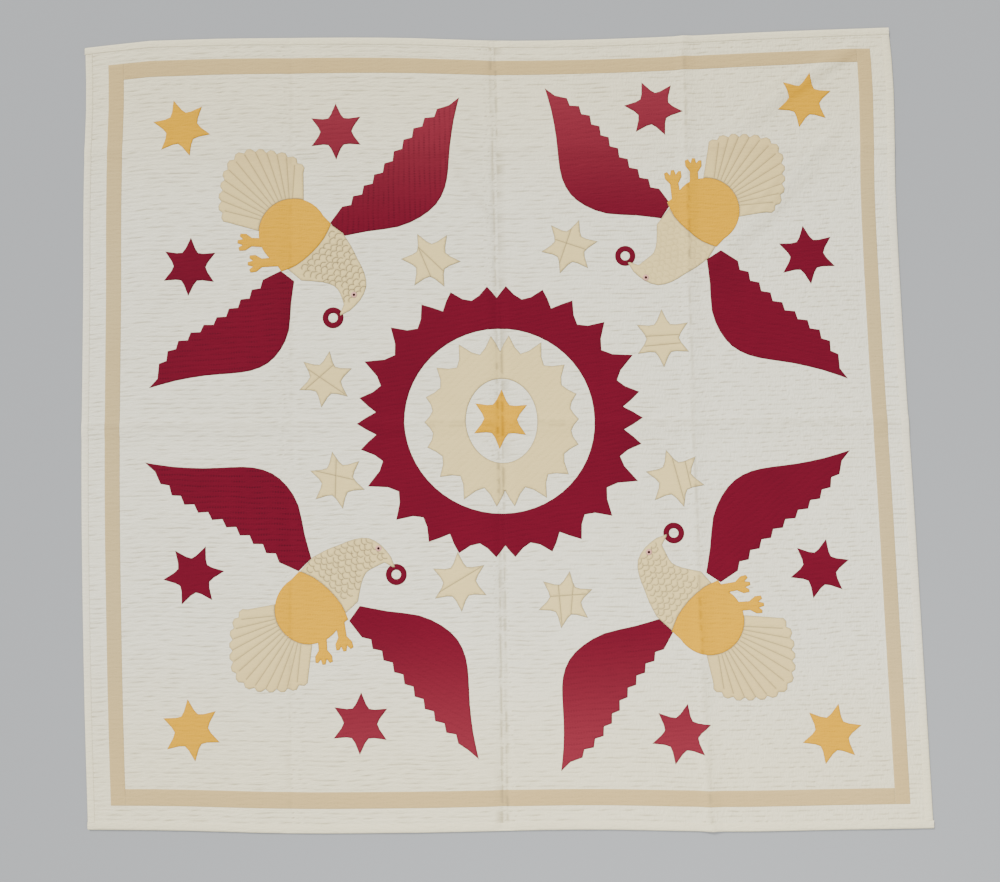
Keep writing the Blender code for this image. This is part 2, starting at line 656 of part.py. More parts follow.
def move_middle_to_origin():
    """The middle of the whole quilt, seen from above, comes to x = 0 and y = 0."""
    meshes = [made.data for made in bpy.data.objects]
    places = [point.co for mesh in meshes for point in mesh.vertices]
    middle = [(min(p[axis] for p in places) + max(p[axis] for p in places)) / 2 for axis in (0, 1)]
    for mesh in meshes:
        mesh.transform(Matrix.Translation((-middle[0], -middle[1], 0.0)))


clear_scene()
ground = cloth("ground_cotton", GROUND_COTTON)
edge_cloth = cloth("binding_cotton", BINDING_COTTON)
tan_cloth = cloth("tan_cotton", TAN_COTTON)
red_cloth = cloth("red_cotton", RED_COTTON)
yellow_cloth = cloth("yellow_cotton", YELLOW_COTTON)
star_cloths = {"centre": yellow_cloth, "yellow": yellow_cloth, "red": red_cloth, "tan": tan_cloth}

folded_top = FoldedTop()
make_body(folded_top, ground)
make_bindings(folded_top, edge_cloth)
make_frame(folded_top, tan_cloth)
make_rings(folded_top, red_cloth, tan_cloth)
for star in STARS:
    make_star(folded_top, *star, star_cloths[star[0].split("_")[1]])
for pattern in EAGLES:
    make_eagle(folded_top, pattern, red_cloth, tan_cloth, yellow_cloth)
move_middle_to_origin()
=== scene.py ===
"""A four-eagle applique quilt in washed cotton, hand-quilted, laid out flat.

Metres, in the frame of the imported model: +Z up, the origin under the middle of the quilt.
"""

import math

import bpy
import numpy as np
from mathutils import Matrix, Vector
from mathutils.geometry import delaunay_2d_cdt


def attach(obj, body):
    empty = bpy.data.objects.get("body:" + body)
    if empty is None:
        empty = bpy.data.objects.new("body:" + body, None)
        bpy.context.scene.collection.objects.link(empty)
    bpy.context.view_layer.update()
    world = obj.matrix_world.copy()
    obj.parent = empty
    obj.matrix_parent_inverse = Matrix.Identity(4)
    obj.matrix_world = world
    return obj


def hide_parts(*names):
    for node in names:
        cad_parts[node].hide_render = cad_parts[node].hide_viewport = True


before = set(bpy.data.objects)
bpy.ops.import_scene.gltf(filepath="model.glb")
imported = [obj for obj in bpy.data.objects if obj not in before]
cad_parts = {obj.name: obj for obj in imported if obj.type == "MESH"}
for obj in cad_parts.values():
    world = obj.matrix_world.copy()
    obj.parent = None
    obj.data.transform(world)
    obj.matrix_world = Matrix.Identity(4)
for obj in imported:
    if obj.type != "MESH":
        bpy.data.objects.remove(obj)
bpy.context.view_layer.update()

# The quilted body. Two layers of off-white cotton with a thin cotton wadding between them, held
# together by rows of small running stitches 11.5 mm apart. The cloth between the rows puffs
# up a little, and the creases of years of folding still stand in it.

MM = 0.001
BODY_TOP = 4.0 * MM
ROW_PITCH = 11.5 * MM
PUFF = 1.0 * MM
# Grid lines to each row of quilting: one on its stitches and three over the puff
LINES_A_ROW = 4
PLAIN_COLUMN = 20.5 * MM
# The cloth lies plain this far round a patch, where it is quilted along the patch's edge
ROUND_PATCH = 7.0 * MM

# Folds and humps: height, half width, then the crest as x, y and share of the height
FOLDS = (
    (-2.0, 30, ((0.0185, 1.05, 1.0), (0.0215, 0.30, 1.0), (0.0195, -0.20, 1.0), (0.0125, -1.05, 1.0))),
    (3.4, 30, ((0.4955, 1.05, 0.8), (0.4955, 0.55, 1.0), (0.4915, 0.17, 0.7), (0.4935, -0.44, 0.8),
               (0.5065, -1.05, 1.0))),
    (-1.2, 32, ((-0.4915, 1.05, 1.0), (-0.5015, 0.0, 1.0), (-0.5105, -1.05, 1.0))),
    (2.4, 34, ((-1.10, 0.004, 1.0), (0.019, -0.009, 1.0), (1.10, -0.027, 1.0))),
    (1.7, 32, ((-1.10, 0.711, 1.0), (0.033, 0.681, 1.0), (1.10, 0.651, 0.6))),
    (4.6, 27, ((0.588, 0.672, 0.0), (0.668, 0.752, 0.9), (0.763, 0.827, 1.0), (0.888, 0.897, 0.8),
               (0.953, 0.927, 0.0))),
    (4.2, 25, ((0.538, 0.357, 0.0), (0.608, 0.437, 0.8), (0.723, 0.559, 1.0), (0.833, 0.677, 0.8),
               (0.883, 0.737, 0.0))),
    (2.6, 24, ((-0.176, 0.792, 0.0), (-0.126, 0.717, 1.0), (-0.031, 0.567, 0.9), (0.014, 0.482, 0.0))),
)
# Creases and wrinkles in them: height, half width, wander, then the crest as above
CREASES = (
    (-1.5, 4.5, 0.8, ((0.0130, 1.0, 1.0), (0.0155, 0.3, 0.8), (0.0135, -0.2, 0.9), (0.0065, -1.0, 1.0))),
    (-1.5, 4.5, 0.8, ((0.0250, 1.0, 1.0), (0.0275, 0.3, 0.8), (0.0255, -0.2, 0.9), (0.0185, -1.0, 1.0))),
    (1.3, 7.0, 3.5, ((0.4955, 1.0, 0.7), (0.4955, 0.55, 1.0), (0.4915, 0.17, 0.8), (0.4935, -0.44, 0.7),
                     (0.5065, -1.0, 0.9))),
    (-0.5, 7.0, 1.5, ((-0.4915, 1.0, 0.8), (-0.5015, 0.0, 1.0), (-0.5105, -1.0, 0.8))),
    (-0.6, 6.0, 1.0, ((-1.03, 0.004, 1.0), (0.019, -0.009, 1.0), (1.03, -0.027, 1.0))),
    (0.5, 6.0, 1.0, ((-1.03, 0.014, 1.0), (0.019, 0.001, 1.0), (1.03, -0.015, 1.0))),
    (-0.4, 6.0, 1.2, ((-1.03, 0.711, 0.6), (0.033, 0.681, 1.0), (1.03, 0.651, 0.6))),
    (2.7, 15.0, 3.0, ((0.575, 0.690, 0.0), (0.655, 0.768, 1.0), (0.752, 0.845, 1.0), (0.880, 0.915, 0.0))),
    (2.3, 15.0, 3.0, ((0.640, 0.690, 0.0), (0.740, 0.780, 1.0), (0.860, 0.860, 1.0), (0.930, 0.900, 0.0))),
    (2.6, 15.0, 3.0, ((0.560, 0.410, 0.0), (0.640, 0.500, 1.0), (0.760, 0.625, 1.0), (0.850, 0.740, 0.0))),
    (2.3, 15.0, 3.0, ((0.575, 0.360, 0.0), (0.660, 0.455, 1.0), (0.790, 0.585, 0.9), (0.880, 0.690, 0.0))),
    (2.2, 15.0, 2.5, ((-0.150, 0.730, 0.0), (-0.085, 0.640, 1.0), (-0.010, 0.535, 0.9), (0.010, 0.480, 0.0))),
    (1.9, 15.0, 2.5, ((-0.120, 0.780, 0.0), (-0.060, 0.690, 1.0), (0.000, 0.600, 0.0))),
)

WAVES = np.random.default_rng(7).uniform(0, 2 * math.pi, (24, 3))
# They are added eight at a time, each somewhat longer or shorter than asked, to a sum near 1
WAVES_TOGETHER = 8
SHORTEST_WAVE = 0.7
LONGER_WAVE = 0.1
SUM_OF_WAVES = 3.2
# Unevenness of the lie, then of the rows: height, length of the waves, and the first wave used
LIE_WAVES = ((0.25 * MM, 0.31, 0), (0.12 * MM, 0.07, 8))
ROW_WAVES = ((1.5 * MM, 0.24, 2), (0.9 * MM, 0.06, 10))
# A crease wanders in waves of this length, and is deeper and shallower by turns
CREASE_WAVE = 0.09
CREASE_PATCH = 0.12
CREASE_DEPTH, CREASE_CHANGE = 0.75, 0.25
CREASE_BELL = 0.55
# Farther than any two places on the quilt
FAR_AWAY = 9.0


def waver(x, y, length, first=0):
    """A smooth uneven wave from -1 to 1 with features of about this length."""
    total = np.zeros_like(x)
    for turn, phase, bend in WAVES[first:first + WAVES_TOGETHER]:
        run = x * math.cos(turn) + y * math.sin(turn)
        total += np.sin(2 * math.pi * run / (length * (SHORTEST_WAVE + LONGER_WAVE * bend)) + phase)
    return total / SUM_OF_WAVES


def crest_near(crest, x, y):
    """Each place's distance from a crest, and the share of the height at the nearest point of it."""
    nearest = np.full_like(x, FAR_AWAY)
    share = np.zeros_like(x)
    for (ax, ay, start), (bx, by, end) in zip(crest, crest[1:]):
        run = np.array((bx - ax, by - ay))
        along = np.clip(((x - ax) * run[0] + (y - ay) * run[1]) / (run @ run), 0, 1)
        away = np.hypot(x - ax - run[0] * along, y - ay - run[1] * along)
        closer = away < nearest
        nearest = np.where(closer, away, nearest)
        share = np.where(closer, start + (end - start) * along, share)
    return nearest, share


def lie_height(x, y):
    """The height of the quilt's front where it lies, with its folds and creases but not its quilting."""
    height = np.full_like(x, BODY_TOP)
    for rise, wave, first in LIE_WAVES:
        height += rise * waver(x, y, wave, first)
    for rise, half_width, crest in FOLDS:
        away, share = crest_near(crest, x, y)
        hump = np.cos(np.clip(away / (half_width * MM), 0, 1) * math.pi / 2) ** 2
        height += rise * MM * share * hump
    for rise, half_width, wander, crest in CREASES:
        shifted = wander * MM * waver(x, y, CREASE_WAVE, 16)
        away, share = crest_near(crest, x + shifted, y + shifted)
        patchy = CREASE_DEPTH + CREASE_CHANGE * waver(x, y, CREASE_PATCH, 4)
        height += rise * MM * share * patchy * np.exp(-(away / (half_width * CREASE_BELL * MM)) ** 2)
    return height


# The long straight creases come first in the table, with painted shade along them that is darker in dashes.
# The slanting ones after them get a little painted shade along the fold
STRAIGHT_CREASES = 7
STRAIGHT_CREASE_SHADE = 0.5
SHADE_BETWEEN_DASHES, SHADE_IN_DASHES = 0.35, 0.65
DASH_LENGTH = 0.035
SLANTING_CREASE_SHADE = 0.22
SLANTING_REACH = 8 * MM


def crease_shade(x, y, reach):
    """How much painted shade darkens the cloth along its creases, from 0 to 1."""
    darkened = np.zeros_like(x)
    for number, (rise, _, _, crest) in enumerate(CREASES):
        away, share = crest_near(crest, x, y)
        if number < STRAIGHT_CREASES:
            dashed = SHADE_BETWEEN_DASHES + SHADE_IN_DASHES * (waver(x, y, DASH_LENGTH, 6) > -0.1)
            shaded = STRAIGHT_CREASE_SHADE * abs(rise) * share * dashed * np.exp(-(away / reach) ** 2)
        else:
            shaded = SLANTING_CREASE_SHADE * share * np.exp(-(away / SLANTING_REACH) ** 2)
        darkened = np.maximum(darkened, shaded)
    return darkened


ROWS_CALM_DOWN = 40 * MM


def row_waver(x, y, up):
    """How far the hand-sewn rows wander up or down, which they stop doing at the quilt's edges."""
    wander = sum(reach * waver(x, y, wave, first) for reach, wave, first in ROW_WAVES)
    return wander * np.clip(np.minimum(up, 1 - up) * length / ROWS_CALM_DOWN, 0, 1)


def cut_edges(node):
    """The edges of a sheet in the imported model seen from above: closed loops of places, outside first."""
    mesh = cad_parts[node].data
    places = np.round(np.array([v.co for v in mesh.vertices]), 5)
    follows = {}
    for face in mesh.polygons:
        if face.normal.z < 0.5:
            continue
        corners = [tuple(places[i]) for i in face.vertices]
        for start, end in zip(corners, corners[1:] + corners[:1]):
            if follows.get(end, {}).pop(start, None) is None:
                follows.setdefault(start, {})[end] = True
    loops = []
    while any(follows.values()):
        start = next(place for place, ends in follows.items() if ends)
        loop = [start]
        while follows.get(loop[-1]):
            loop.append(follows[loop[-1]].popitem()[0])
        loops.append(np.array(loop)[:-1, :2])
    return sorted(loops, key=lambda loop: -np.ptp(loop, axis=0).sum())


outline = cut_edges("quilt_body")[0]
low, high = outline.min(axis=0), outline.max(axis=0)
corner_places = ((low[0], low[1]), (high[0], low[1]), (high[0], high[1]), (low[0], high[1]))
corner_rows = [int(np.argmin(np.hypot(*(outline - place).T))) for place in corner_places]
outline = np.roll(outline, -corner_rows[0], axis=0)
corner_rows = [(row - corner_rows[0]) % len(outline) for row in corner_rows] + [len(outline)]
outline = np.vstack([outline, outline[:1]])
bottom_side, right_side, top_side, left_side = (
    outline[start:end + 1] for start, end in zip(corner_rows, corner_rows[1:])
)
top_side, left_side = top_side[::-1], left_side[::-1]


def along_side(side, share):
    """The place at this share of a side of the quilt."""
    steps = np.r_[0, np.cumsum(np.hypot(*np.diff(side, axis=0).T))]
    return np.stack([np.interp(share * steps[-1], steps, side[:, axis]) for axis in (0, 1)], axis=-1)


def pulled_square(across, up):
    """Places inside the quilt's uneven edges, from shares across and up it."""
    a, u = across[..., None], up[..., None]
    ruled = (1 - u) * along_side(bottom_side, across) + u * along_side(top_side, across)
    ruled = ruled + (1 - a) * along_side(left_side, up) + a * along_side(right_side, up)
    corners = (1 - u) * ((1 - a) * bottom_side[0] + a * bottom_side[-1])
    corners = corners + u * ((1 - a) * top_side[0] + a * top_side[-1])
    return ruled - corners


# Pieces of line that are measured at a time, to spare memory
LINES_AT_ONCE = 60


def line_distance(places, lines):
    """Each place's distance to the nearest of these lines."""
    starts = np.vstack([line[:-1] for line in lines])
    runs = np.vstack([np.diff(line, axis=0) for line in lines])
    squared = np.maximum((runs ** 2).sum(axis=1), 1e-12)
    nearest = np.full(len(places), FAR_AWAY)
    for first in range(0, len(starts), LINES_AT_ONCE):
        group = slice(first, first + LINES_AT_ONCE)
        from_start = places[:, None] - starts[group]
        along = np.clip((from_start * runs[group]).sum(axis=2) / squared[group], 0, 1)
        away = from_start - runs[group] * along[..., None]
        nearest = np.minimum(nearest, np.hypot(away[..., 0], away[..., 1]).min(axis=1))
    return nearest


def inside_loops(places, loops):
    """Which places lie inside an odd number of the closed loops."""
    inside = np.zeros(len(places), bool)
    for loop in loops:
        for (ax, ay), (bx, by) in zip(loop, np.roll(loop, -1, axis=0)):
            crosses = (places[:, 1] < ay) != (places[:, 1] < by)
            with np.errstate(divide="ignore", invalid="ignore"):
                at = (bx - ax) * (places[:, 1] - ay) / (by - ay) + ax
            inside ^= crosses & (places[:, 0] < at)
    return inside


def closed(loops):
    """Loops as lines that end where they start."""
    return [np.vstack([loop, loop[:1]]) for loop in loops]


patch_edges = {node: cut_edges(node) for node in sorted(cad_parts)
               if node != "quilt_body" and not node.startswith("binding")}


def beside_patches(x, y):
    """1 on open ground, falling to 0 at the patches and under them."""
    open_ground = np.ones_like(x)
    flat = np.stack([x.ravel(), y.ravel()], axis=1)
    for loops in patch_edges.values():
        near_low, near_high = loops[0].min(axis=0) - ROUND_PATCH, loops[0].max(axis=0) + ROUND_PATCH
        near = np.flatnonzero(((flat > near_low) & (flat < near_high)).all(axis=1))
        if not len(near):
            continue
        away = line_distance(flat[near], closed(loops))
        away[inside_loops(flat[near], loops)] = 0
        share = np.clip(away / ROUND_PATCH, 0, 1)
        open_ground.ravel()[near] = np.minimum(open_ground.ravel()[near], share * share * (3 - 2 * share))
    return open_ground


# The grid's closer columns over the creases: from x, to x and their pitch
CLOSE_COLUMNS = ((-0.002, 0.038, 0.0033), (0.480, 0.520, 0.006), (-0.520, -0.484, 0.009),
                 (0.54, 0.94, 0.0125))
NEAREST_COLUMNS = 0.0014
# The puffs: the flattest of the pinched ones, and how much flatter they lie to the right and in the margin
LEAST_PUFF = 0.35
FLATTER_RIGHT, RIGHT_REACH = 0.30, 0.5
FLATTER_MARGIN, MARGIN = 0.25, 0.11
FLAT_EDGE = 12 * MM
CRINKLE = 0.16 * MM

width, length = high - low
plain = np.arange(0, 1 + 1e-9, PLAIN_COLUMN / width)
close = [np.arange(start, end, pitch) for start, end, pitch in CLOSE_COLUMNS]
close = (np.concatenate(close) - low[0]) / width
columns = np.sort(np.concatenate([plain, close, [1.0]]))
columns = columns[np.r_[True, np.diff(columns) > NEAREST_COLUMNS]]
columns[-1] = 1.0
row_count = round(length / ROW_PITCH)
rows = np.linspace(0, 1, row_count * LINES_A_ROW + 1)
across, up = np.meshgrid(columns, rows)
places = pulled_square(across, up)
up = up - row_waver(places[..., 0], places[..., 1], up) / length
places = pulled_square(across, up)
lie = lie_height(places[..., 0], places[..., 1])
open_ground = beside_patches(places[..., 0], places[..., 1])
draws = np.random.default_rng(11)
pinches = draws.uniform(LEAST_PUFF, 1.0, (row_count + 1, len(columns)))
on_row = np.arange(len(rows)) % LINES_A_ROW / LINES_A_ROW
between = np.sin(math.pi * on_row)[:, None] ** 2
from_sides = np.minimum(np.minimum(across, 1 - across) * width, np.minimum(up, 1 - up) * length)
to_right = np.clip(places[..., 0] / RIGHT_REACH, 0, 1)
flatter = 1 - FLATTER_RIGHT * to_right - FLATTER_MARGIN * (from_sides < MARGIN)
strength = pinches[np.arange(len(rows)) // LINES_A_ROW] * flatter * open_ground
puff = PUFF * strength * between * np.clip(from_sides / FLAT_EDGE, 0, 1)
puff += CRINKLE * draws.uniform(-1, 1, puff.shape) * open_ground
top_heights = lie + puff


def add_object(name, data):
    """A new object in the scene."""
    thing = bpy.data.objects.new(name, data)
    bpy.context.scene.collection.objects.link(thing)
    return thing


def grid_mesh(name, points, flip=False):
    """A mesh over a grid of points, rows first."""
    count_rows, count_columns = points.shape[:2]
    numbers = np.arange(count_rows * count_columns).reshape(count_rows, count_columns)
    faces = np.stack([numbers[:-1, :-1], numbers[:-1, 1:], numbers[1:, 1:], numbers[1:, :-1]], axis=-1)
    faces = faces.reshape(-1, 4)[:, ::-1] if flip else faces.reshape(-1, 4)
    mesh = bpy.data.meshes.new(name)
    mesh.from_pydata(points.reshape(-1, 3).tolist(), [], faces.tolist())
    mesh.polygons.foreach_set("use_smooth", np.ones(len(mesh.polygons), bool))
    return add_object(name, mesh)


def linear(code):
    """A hex sRGB colour as linear values."""
    parts = [int(code[i:i + 2], 16) / 255 for i in (1, 3, 5)]
    return (*[v / 12.92 if v <= 0.04045 else ((v + 0.055) / 1.055) ** 2.4 for v in parts], 1.0)


def add(tree, kind, settings=None, **links):
    """A node with its settings, and its inputs by name, or as i and their number, as sockets or values."""
    node = tree.nodes.new(kind)
    for key, value in (settings or {}).items():
        setattr(node, key, value)
    for name, value in links.items():
        socket = node.inputs[int(name[1:])] if name[0] == "i" and name[1:].isdigit() else node.inputs[name]
        if isinstance(value, bpy.types.NodeSocket):
            tree.links.new(value, socket)
        else:
            socket.default_value = value
    return node


# How far up or down from the middle the cloth starts to fade, and where it is palest
FADE_FROM, FADE_TO = 0.44, 0.90
# Wrinkles run level on the left and partly upright from here to here
UPRIGHT_FROM, UPRIGHT_TO = -0.1, 0.4


def cotton(name, colour, shade, pale, pale_share, dirt_and_shade_colour, weave=1.0, cross=0.0):
    """Washed plain-weave cotton: matt, uneven in colour, with slubs, and darker with dirt and painted shade
    where the mesh marks it.

    The threads are 0.5 mm apart, too fine to show from this far, so the slubs are drawn about 4 mm long
    and 1 mm wide. The wrinkles between the stitches are about 20 mm long and 6 mm wide.
    """
    material = bpy.data.materials.new(name)
    material.use_nodes = True
    tree = material.node_tree
    surface = tree.nodes["Principled BSDF"]
    place = add(tree, "ShaderNodeTexCoord").outputs["Object"]
    cloud = add(tree, "ShaderNodeTexNoise", Vector=place, Scale=4.0, Detail=3.0, Roughness=0.55)
    mottled = add(tree, "ShaderNodeMix", {"data_type": "RGBA"}, Factor=cloud.outputs["Fac"],
                  i6=linear(colour), i7=linear(shade))
    apart = add(tree, "ShaderNodeSeparateXYZ", Vector=place)
    far_up = add(tree, "ShaderNodeMath", {"operation": "ABSOLUTE"}, i0=apart.outputs["Y"])
    fade = add(tree, "ShaderNodeMapRange", {"interpolation_type": "SMOOTHSTEP"}, i0=far_up.outputs[0],
               i1=FADE_FROM, i2=FADE_TO, i3=0.0, i4=pale_share)
    faded = add(tree, "ShaderNodeMix", {"data_type": "RGBA"}, Factor=fade.outputs["Result"],
                i6=mottled.outputs[2], i7=linear(pale))
    warp = add(tree, "ShaderNodeMapping", Vector=place, Scale=(260.0, 900.0, 1.0))
    weft = add(tree, "ShaderNodeMapping", Vector=place, Scale=(900.0, 260.0, 1.0))
    slubs = [add(tree, "ShaderNodeTexNoise", Vector=turned.outputs[0], Scale=1.0, Detail=2.0)
             for turned in (warp, weft)]
    threads = add(tree, "ShaderNodeMath", {"operation": "ADD"}, i0=slubs[0].outputs["Fac"],
                  i1=slubs[1].outputs["Fac"])
    speck = add(tree, "ShaderNodeMapRange", i0=threads.outputs[0], i1=0.6, i2=1.4, i3=0.94, i4=1.05)
    flecked = add(tree, "ShaderNodeMix", {"data_type": "RGBA", "blend_type": "MULTIPLY"}, Factor=1.0,
                  i6=faded.outputs[2], i7=speck.outputs["Result"])
    # Painted shade along the quilting, the patch edges and the creases, with some dirt, mixed in as a dark
    # colour
    dirt_and_painted_shade = add(tree, "ShaderNodeAttribute", {"attribute_name": "dirt_and_painted_shade"})
    lined = add(tree, "ShaderNodeMix", {"data_type": "RGBA"}, Factor=dirt_and_painted_shade.outputs["Fac"],
                i6=flecked.outputs[2], i7=linear(dirt_and_shade_colour))
    tree.links.new(lined.outputs[2], surface.inputs["Base Color"])
    surface.inputs["Roughness"].default_value = 0.92
    surface.inputs["Specular IOR Level"].default_value = 0.06
    surface.inputs["Sheen Weight"].default_value = 0.02
    surface.inputs["Sheen Roughness"].default_value = 0.6
    puckers = [add(tree, "ShaderNodeTexNoise", Scale=1.0, Detail=4.0, Roughness=0.6,
                   Vector=add(tree, "ShaderNodeMapping", Vector=place, Scale=scale).outputs[0])
               for scale in ((50.0, 170.0, 1.0), (190.0, 70.0, 1.0))]
    rightward = add(tree, "ShaderNodeMapRange", i0=apart.outputs["X"], i1=UPRIGHT_FROM, i2=UPRIGHT_TO,
                    i3=0.15 * cross, i4=cross)
    wrinkle = add(tree, "ShaderNodeMix", Factor=rightward.outputs["Result"],
                  i2=puckers[0].outputs["Fac"], i3=puckers[1].outputs["Fac"])
    coarse = add(tree, "ShaderNodeBump", Height=wrinkle.outputs[0], Strength=0.6, Distance=1.4 * weave * MM)
    fine = add(tree, "ShaderNodeBump", Height=threads.outputs[0], Strength=0.5, Distance=0.3 * MM,
               Normal=coarse.outputs[0])
    tree.links.new(fine.outputs[0], surface.inputs["Normal"])
    return material


ground_cotton = cotton("washed_muslin", "#E0DDC8", "#D9D4BD", "#DCD3B0", 0.8, "#968B6C", 4.4, cross=0.8)
quilt_top = grid_mesh("quilt_top", np.dstack([places, top_heights]))
quilt_top.data.materials.append(ground_cotton)
# Dirt and painted shade in the valleys of the quilting rows, and painted shade along the creases
STITCH_DIRT_AND_SHADE = 0.75
GROUND_CREASE_SHADE_REACH = 3 * MM
darkened = STITCH_DIRT_AND_SHADE * (on_row == 0)[:, None] * draws.random(puff.shape) ** 2 * open_ground
darkened = np.maximum(darkened, crease_shade(places[..., 0], places[..., 1], GROUND_CREASE_SHADE_REACH))
layer = quilt_top.data.attributes.new("dirt_and_painted_shade", "FLOAT", "POINT")
layer.data.foreach_set("value", darkened.ravel().astype(np.float32))
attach(quilt_top, "root")
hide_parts("quilt_body")

# The backing. One plain layer of the same muslin under the wadding, which shows the same rows of
# quilting from behind. It follows the folds where the whole quilt stands up.

BACK_COLUMNS = 118
BACK_PUFF = 0.5 * PUFF
BACK_LIFT = 0.05 * MM
back_rows = np.linspace(0, 1, row_count * 2 + 1)
back_across, back_up = np.meshgrid(np.linspace(0, 1, BACK_COLUMNS), back_rows)
back_places = pulled_square(back_across, back_up)
back_lie = lie_height(back_places[..., 0], back_places[..., 1])
back_puff = BACK_PUFF * (np.arange(len(back_rows)) % 2)[:, None]
back_heights = np.maximum(back_lie - BODY_TOP, 0) + BACK_PUFF - back_puff + BACK_LIFT
quilt_back = grid_mesh("quilt_back", np.dstack([back_places, back_heights]), flip=True)
quilt_back.data.materials.append(ground_cotton)
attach(quilt_back, "root")

# The patches. Each is one thin cotton shape with its raw edge turned under and slip-stitched down,
# then quilted through: scales on the necks, rays on the tails, rows on the wings, bodies and rings.

PATCH_LIFT = 0.15 * MM
PATCH_THICK = 0.75 * MM
TURNED_EDGE = 1.1 * MM
EDGE_STEP = 4.0 * MM
PLAIN_CELL = 4.2 * MM
LINE_STEP = 3.4 * MM
GROOVE = 0.50 * MM
GROOVE_HALF = 1.2 * MM
LINE_REACH = 7.0 * MM
PATCH_PUFF = 0.65 * MM
# How far a patch's puff takes to rise from its edge, how steeply, and how much of it is left on a line
PUFF_REACH = 9 * MM
PUFF_CURVE = 0.7
PUFF_ON_LINE = 0.3
# The turned edge's own height, as a share of the patch's thickness
TURNED_SHARE = 0.25
UNDERSIDE_LIFT = 0.05 * MM
LEAST_THICKNESS = 0.1 * MM
# How far the dirt and painted shade at a patch's edge, and the painted shade of a drawn line and a crease,
# spread
EDGE_DIRT_AND_SHADE_REACH = 1.2 * MM
LINE_SHADE_REACH = 1.0 * MM
PATCH_CREASE_SHADE, PATCH_CREASE_SHADE_REACH = 0.8, 4 * MM
# A drawn groove ends this far from the patch's edge
GROOVE_END = 4 * MM
# Where a row's places stand, as shares of the pitch from its stitches
STITCH_SHARE = 0.09
ROW_SHARES = (-STITCH_SHARE, 0.0, STITCH_SHARE, 0.30, 0.50, 0.70)
ROW_WANDER, ROW_WANDER_LENGTH = 1.3 * MM, 0.11
# Edges shorter than this are dropped, places nearer than this are one
SHORTEST_EDGE = 0.2 * MM
SAME_PLACE = 2e-5
# The height of an even triangle, as a share of its side
TRIANGLE_HEIGHT = 0.866
# Lines sewn in a thread as pale as the cloth get no brown stitches
FAINT_THREAD = 0.3
thread_lines = []


def top_at(x, y):
    """The height of the made quilt top at these places, read off its own grid."""
    s = (x - low[0]) / width
    t = (y - low[1]) / length
    for _ in range(4):
        found = pulled_square(s, t)
        s = np.clip(s + (x - found[..., 0]) / width, 0, 1)
        t = np.clip(t + (y - found[..., 1]) / length, 0, 1)
    t = np.clip(t + row_waver(x, y, t) / length, 0, 1)
    column = np.clip(np.searchsorted(columns, s) - 1, 0, len(columns) - 2)
    row = np.clip((t * (len(rows) - 1)).astype(int), 0, len(rows) - 2)
    a = (s - columns[column]) / (columns[column + 1] - columns[column])
    u = t * (len(rows) - 1) - row
    below = top_heights[row, column] * (1 - a) + top_heights[row, column + 1] * a
    above = top_heights[row + 1, column] * (1 - a) + top_heights[row + 1, column + 1] * a
    return below * (1 - u) + above * u


def stepped(line, step, closed_line=False):
    """A line with places at most a step apart, its own corners kept."""
    line = np.vstack([line, line[:1]]) if closed_line else line
    found = []
    for start, end in zip(line, line[1:]):
        count = max(1, math.ceil(np.hypot(*(end - start)) / step))
        found += [start + (end - start) * i / count for i in range(count)]
    return np.array(found if closed_line else [*found, line[-1]])


def beside(line, offset, closed_line=False):
    """A line moved sideways, to the left of its run for a positive offset."""
    before = np.roll(line, 1, axis=0) if closed_line else np.vstack([line[:1], line[:-1]])
    after = np.roll(line, -1, axis=0) if closed_line else np.vstack([line[1:], line[-1:]])
    normals = []
    for part in (line - before, after - line):
        size = np.maximum(np.hypot(*part.T), 1e-9)[:, None]
        normals.append(np.stack([-part[:, 1], part[:, 0]], axis=1) / size)
    if not closed_line:
        normals[0][0], normals[1][-1] = normals[1][0], normals[0][-1]
    middle = normals[0] + normals[1]
    middle = middle / np.maximum(np.hypot(*middle.T), 1e-9)[:, None]
    reach = offset / np.maximum(0.35, (middle * normals[0]).sum(axis=1))
    return line + middle * reach[:, None]


def rows_of_places(low_corner, high_corner, turn, pitch, step):
    """Places along wavering rows at this turn over a box, each with its share of the way to the next row."""
    middle, reach = (low_corner + high_corner) / 2, np.hypot(*(high_corner - low_corner)) / 2
    ahead = np.array((math.cos(turn), math.sin(turn)))
    aside = np.array((-ahead[1], ahead[0]))
    runs = np.arange(-reach, reach, step)
    first, last = math.floor((middle @ aside - reach) / pitch), math.ceil((middle @ aside + reach) / pitch)
    found, shares, row_numbers = [], [], []
    for row in range(first, last):
        for place, share in enumerate(ROW_SHARES):
            off = (row + share) * pitch - middle @ aside
            spots = middle + ahead * (runs[:, None] + (place % 2) * step / 2) + aside * off
            wander = ROW_WANDER * waver(spots[:, 0], spots[:, 1], ROW_WANDER_LENGTH, 5)
            found.append(spots + aside * wander[:, None])
            shares.append(np.full(len(runs), share))
            row_numbers.append(np.full(len(runs), row - first))
    return np.vstack(found), np.concatenate(shares), np.concatenate(row_numbers)


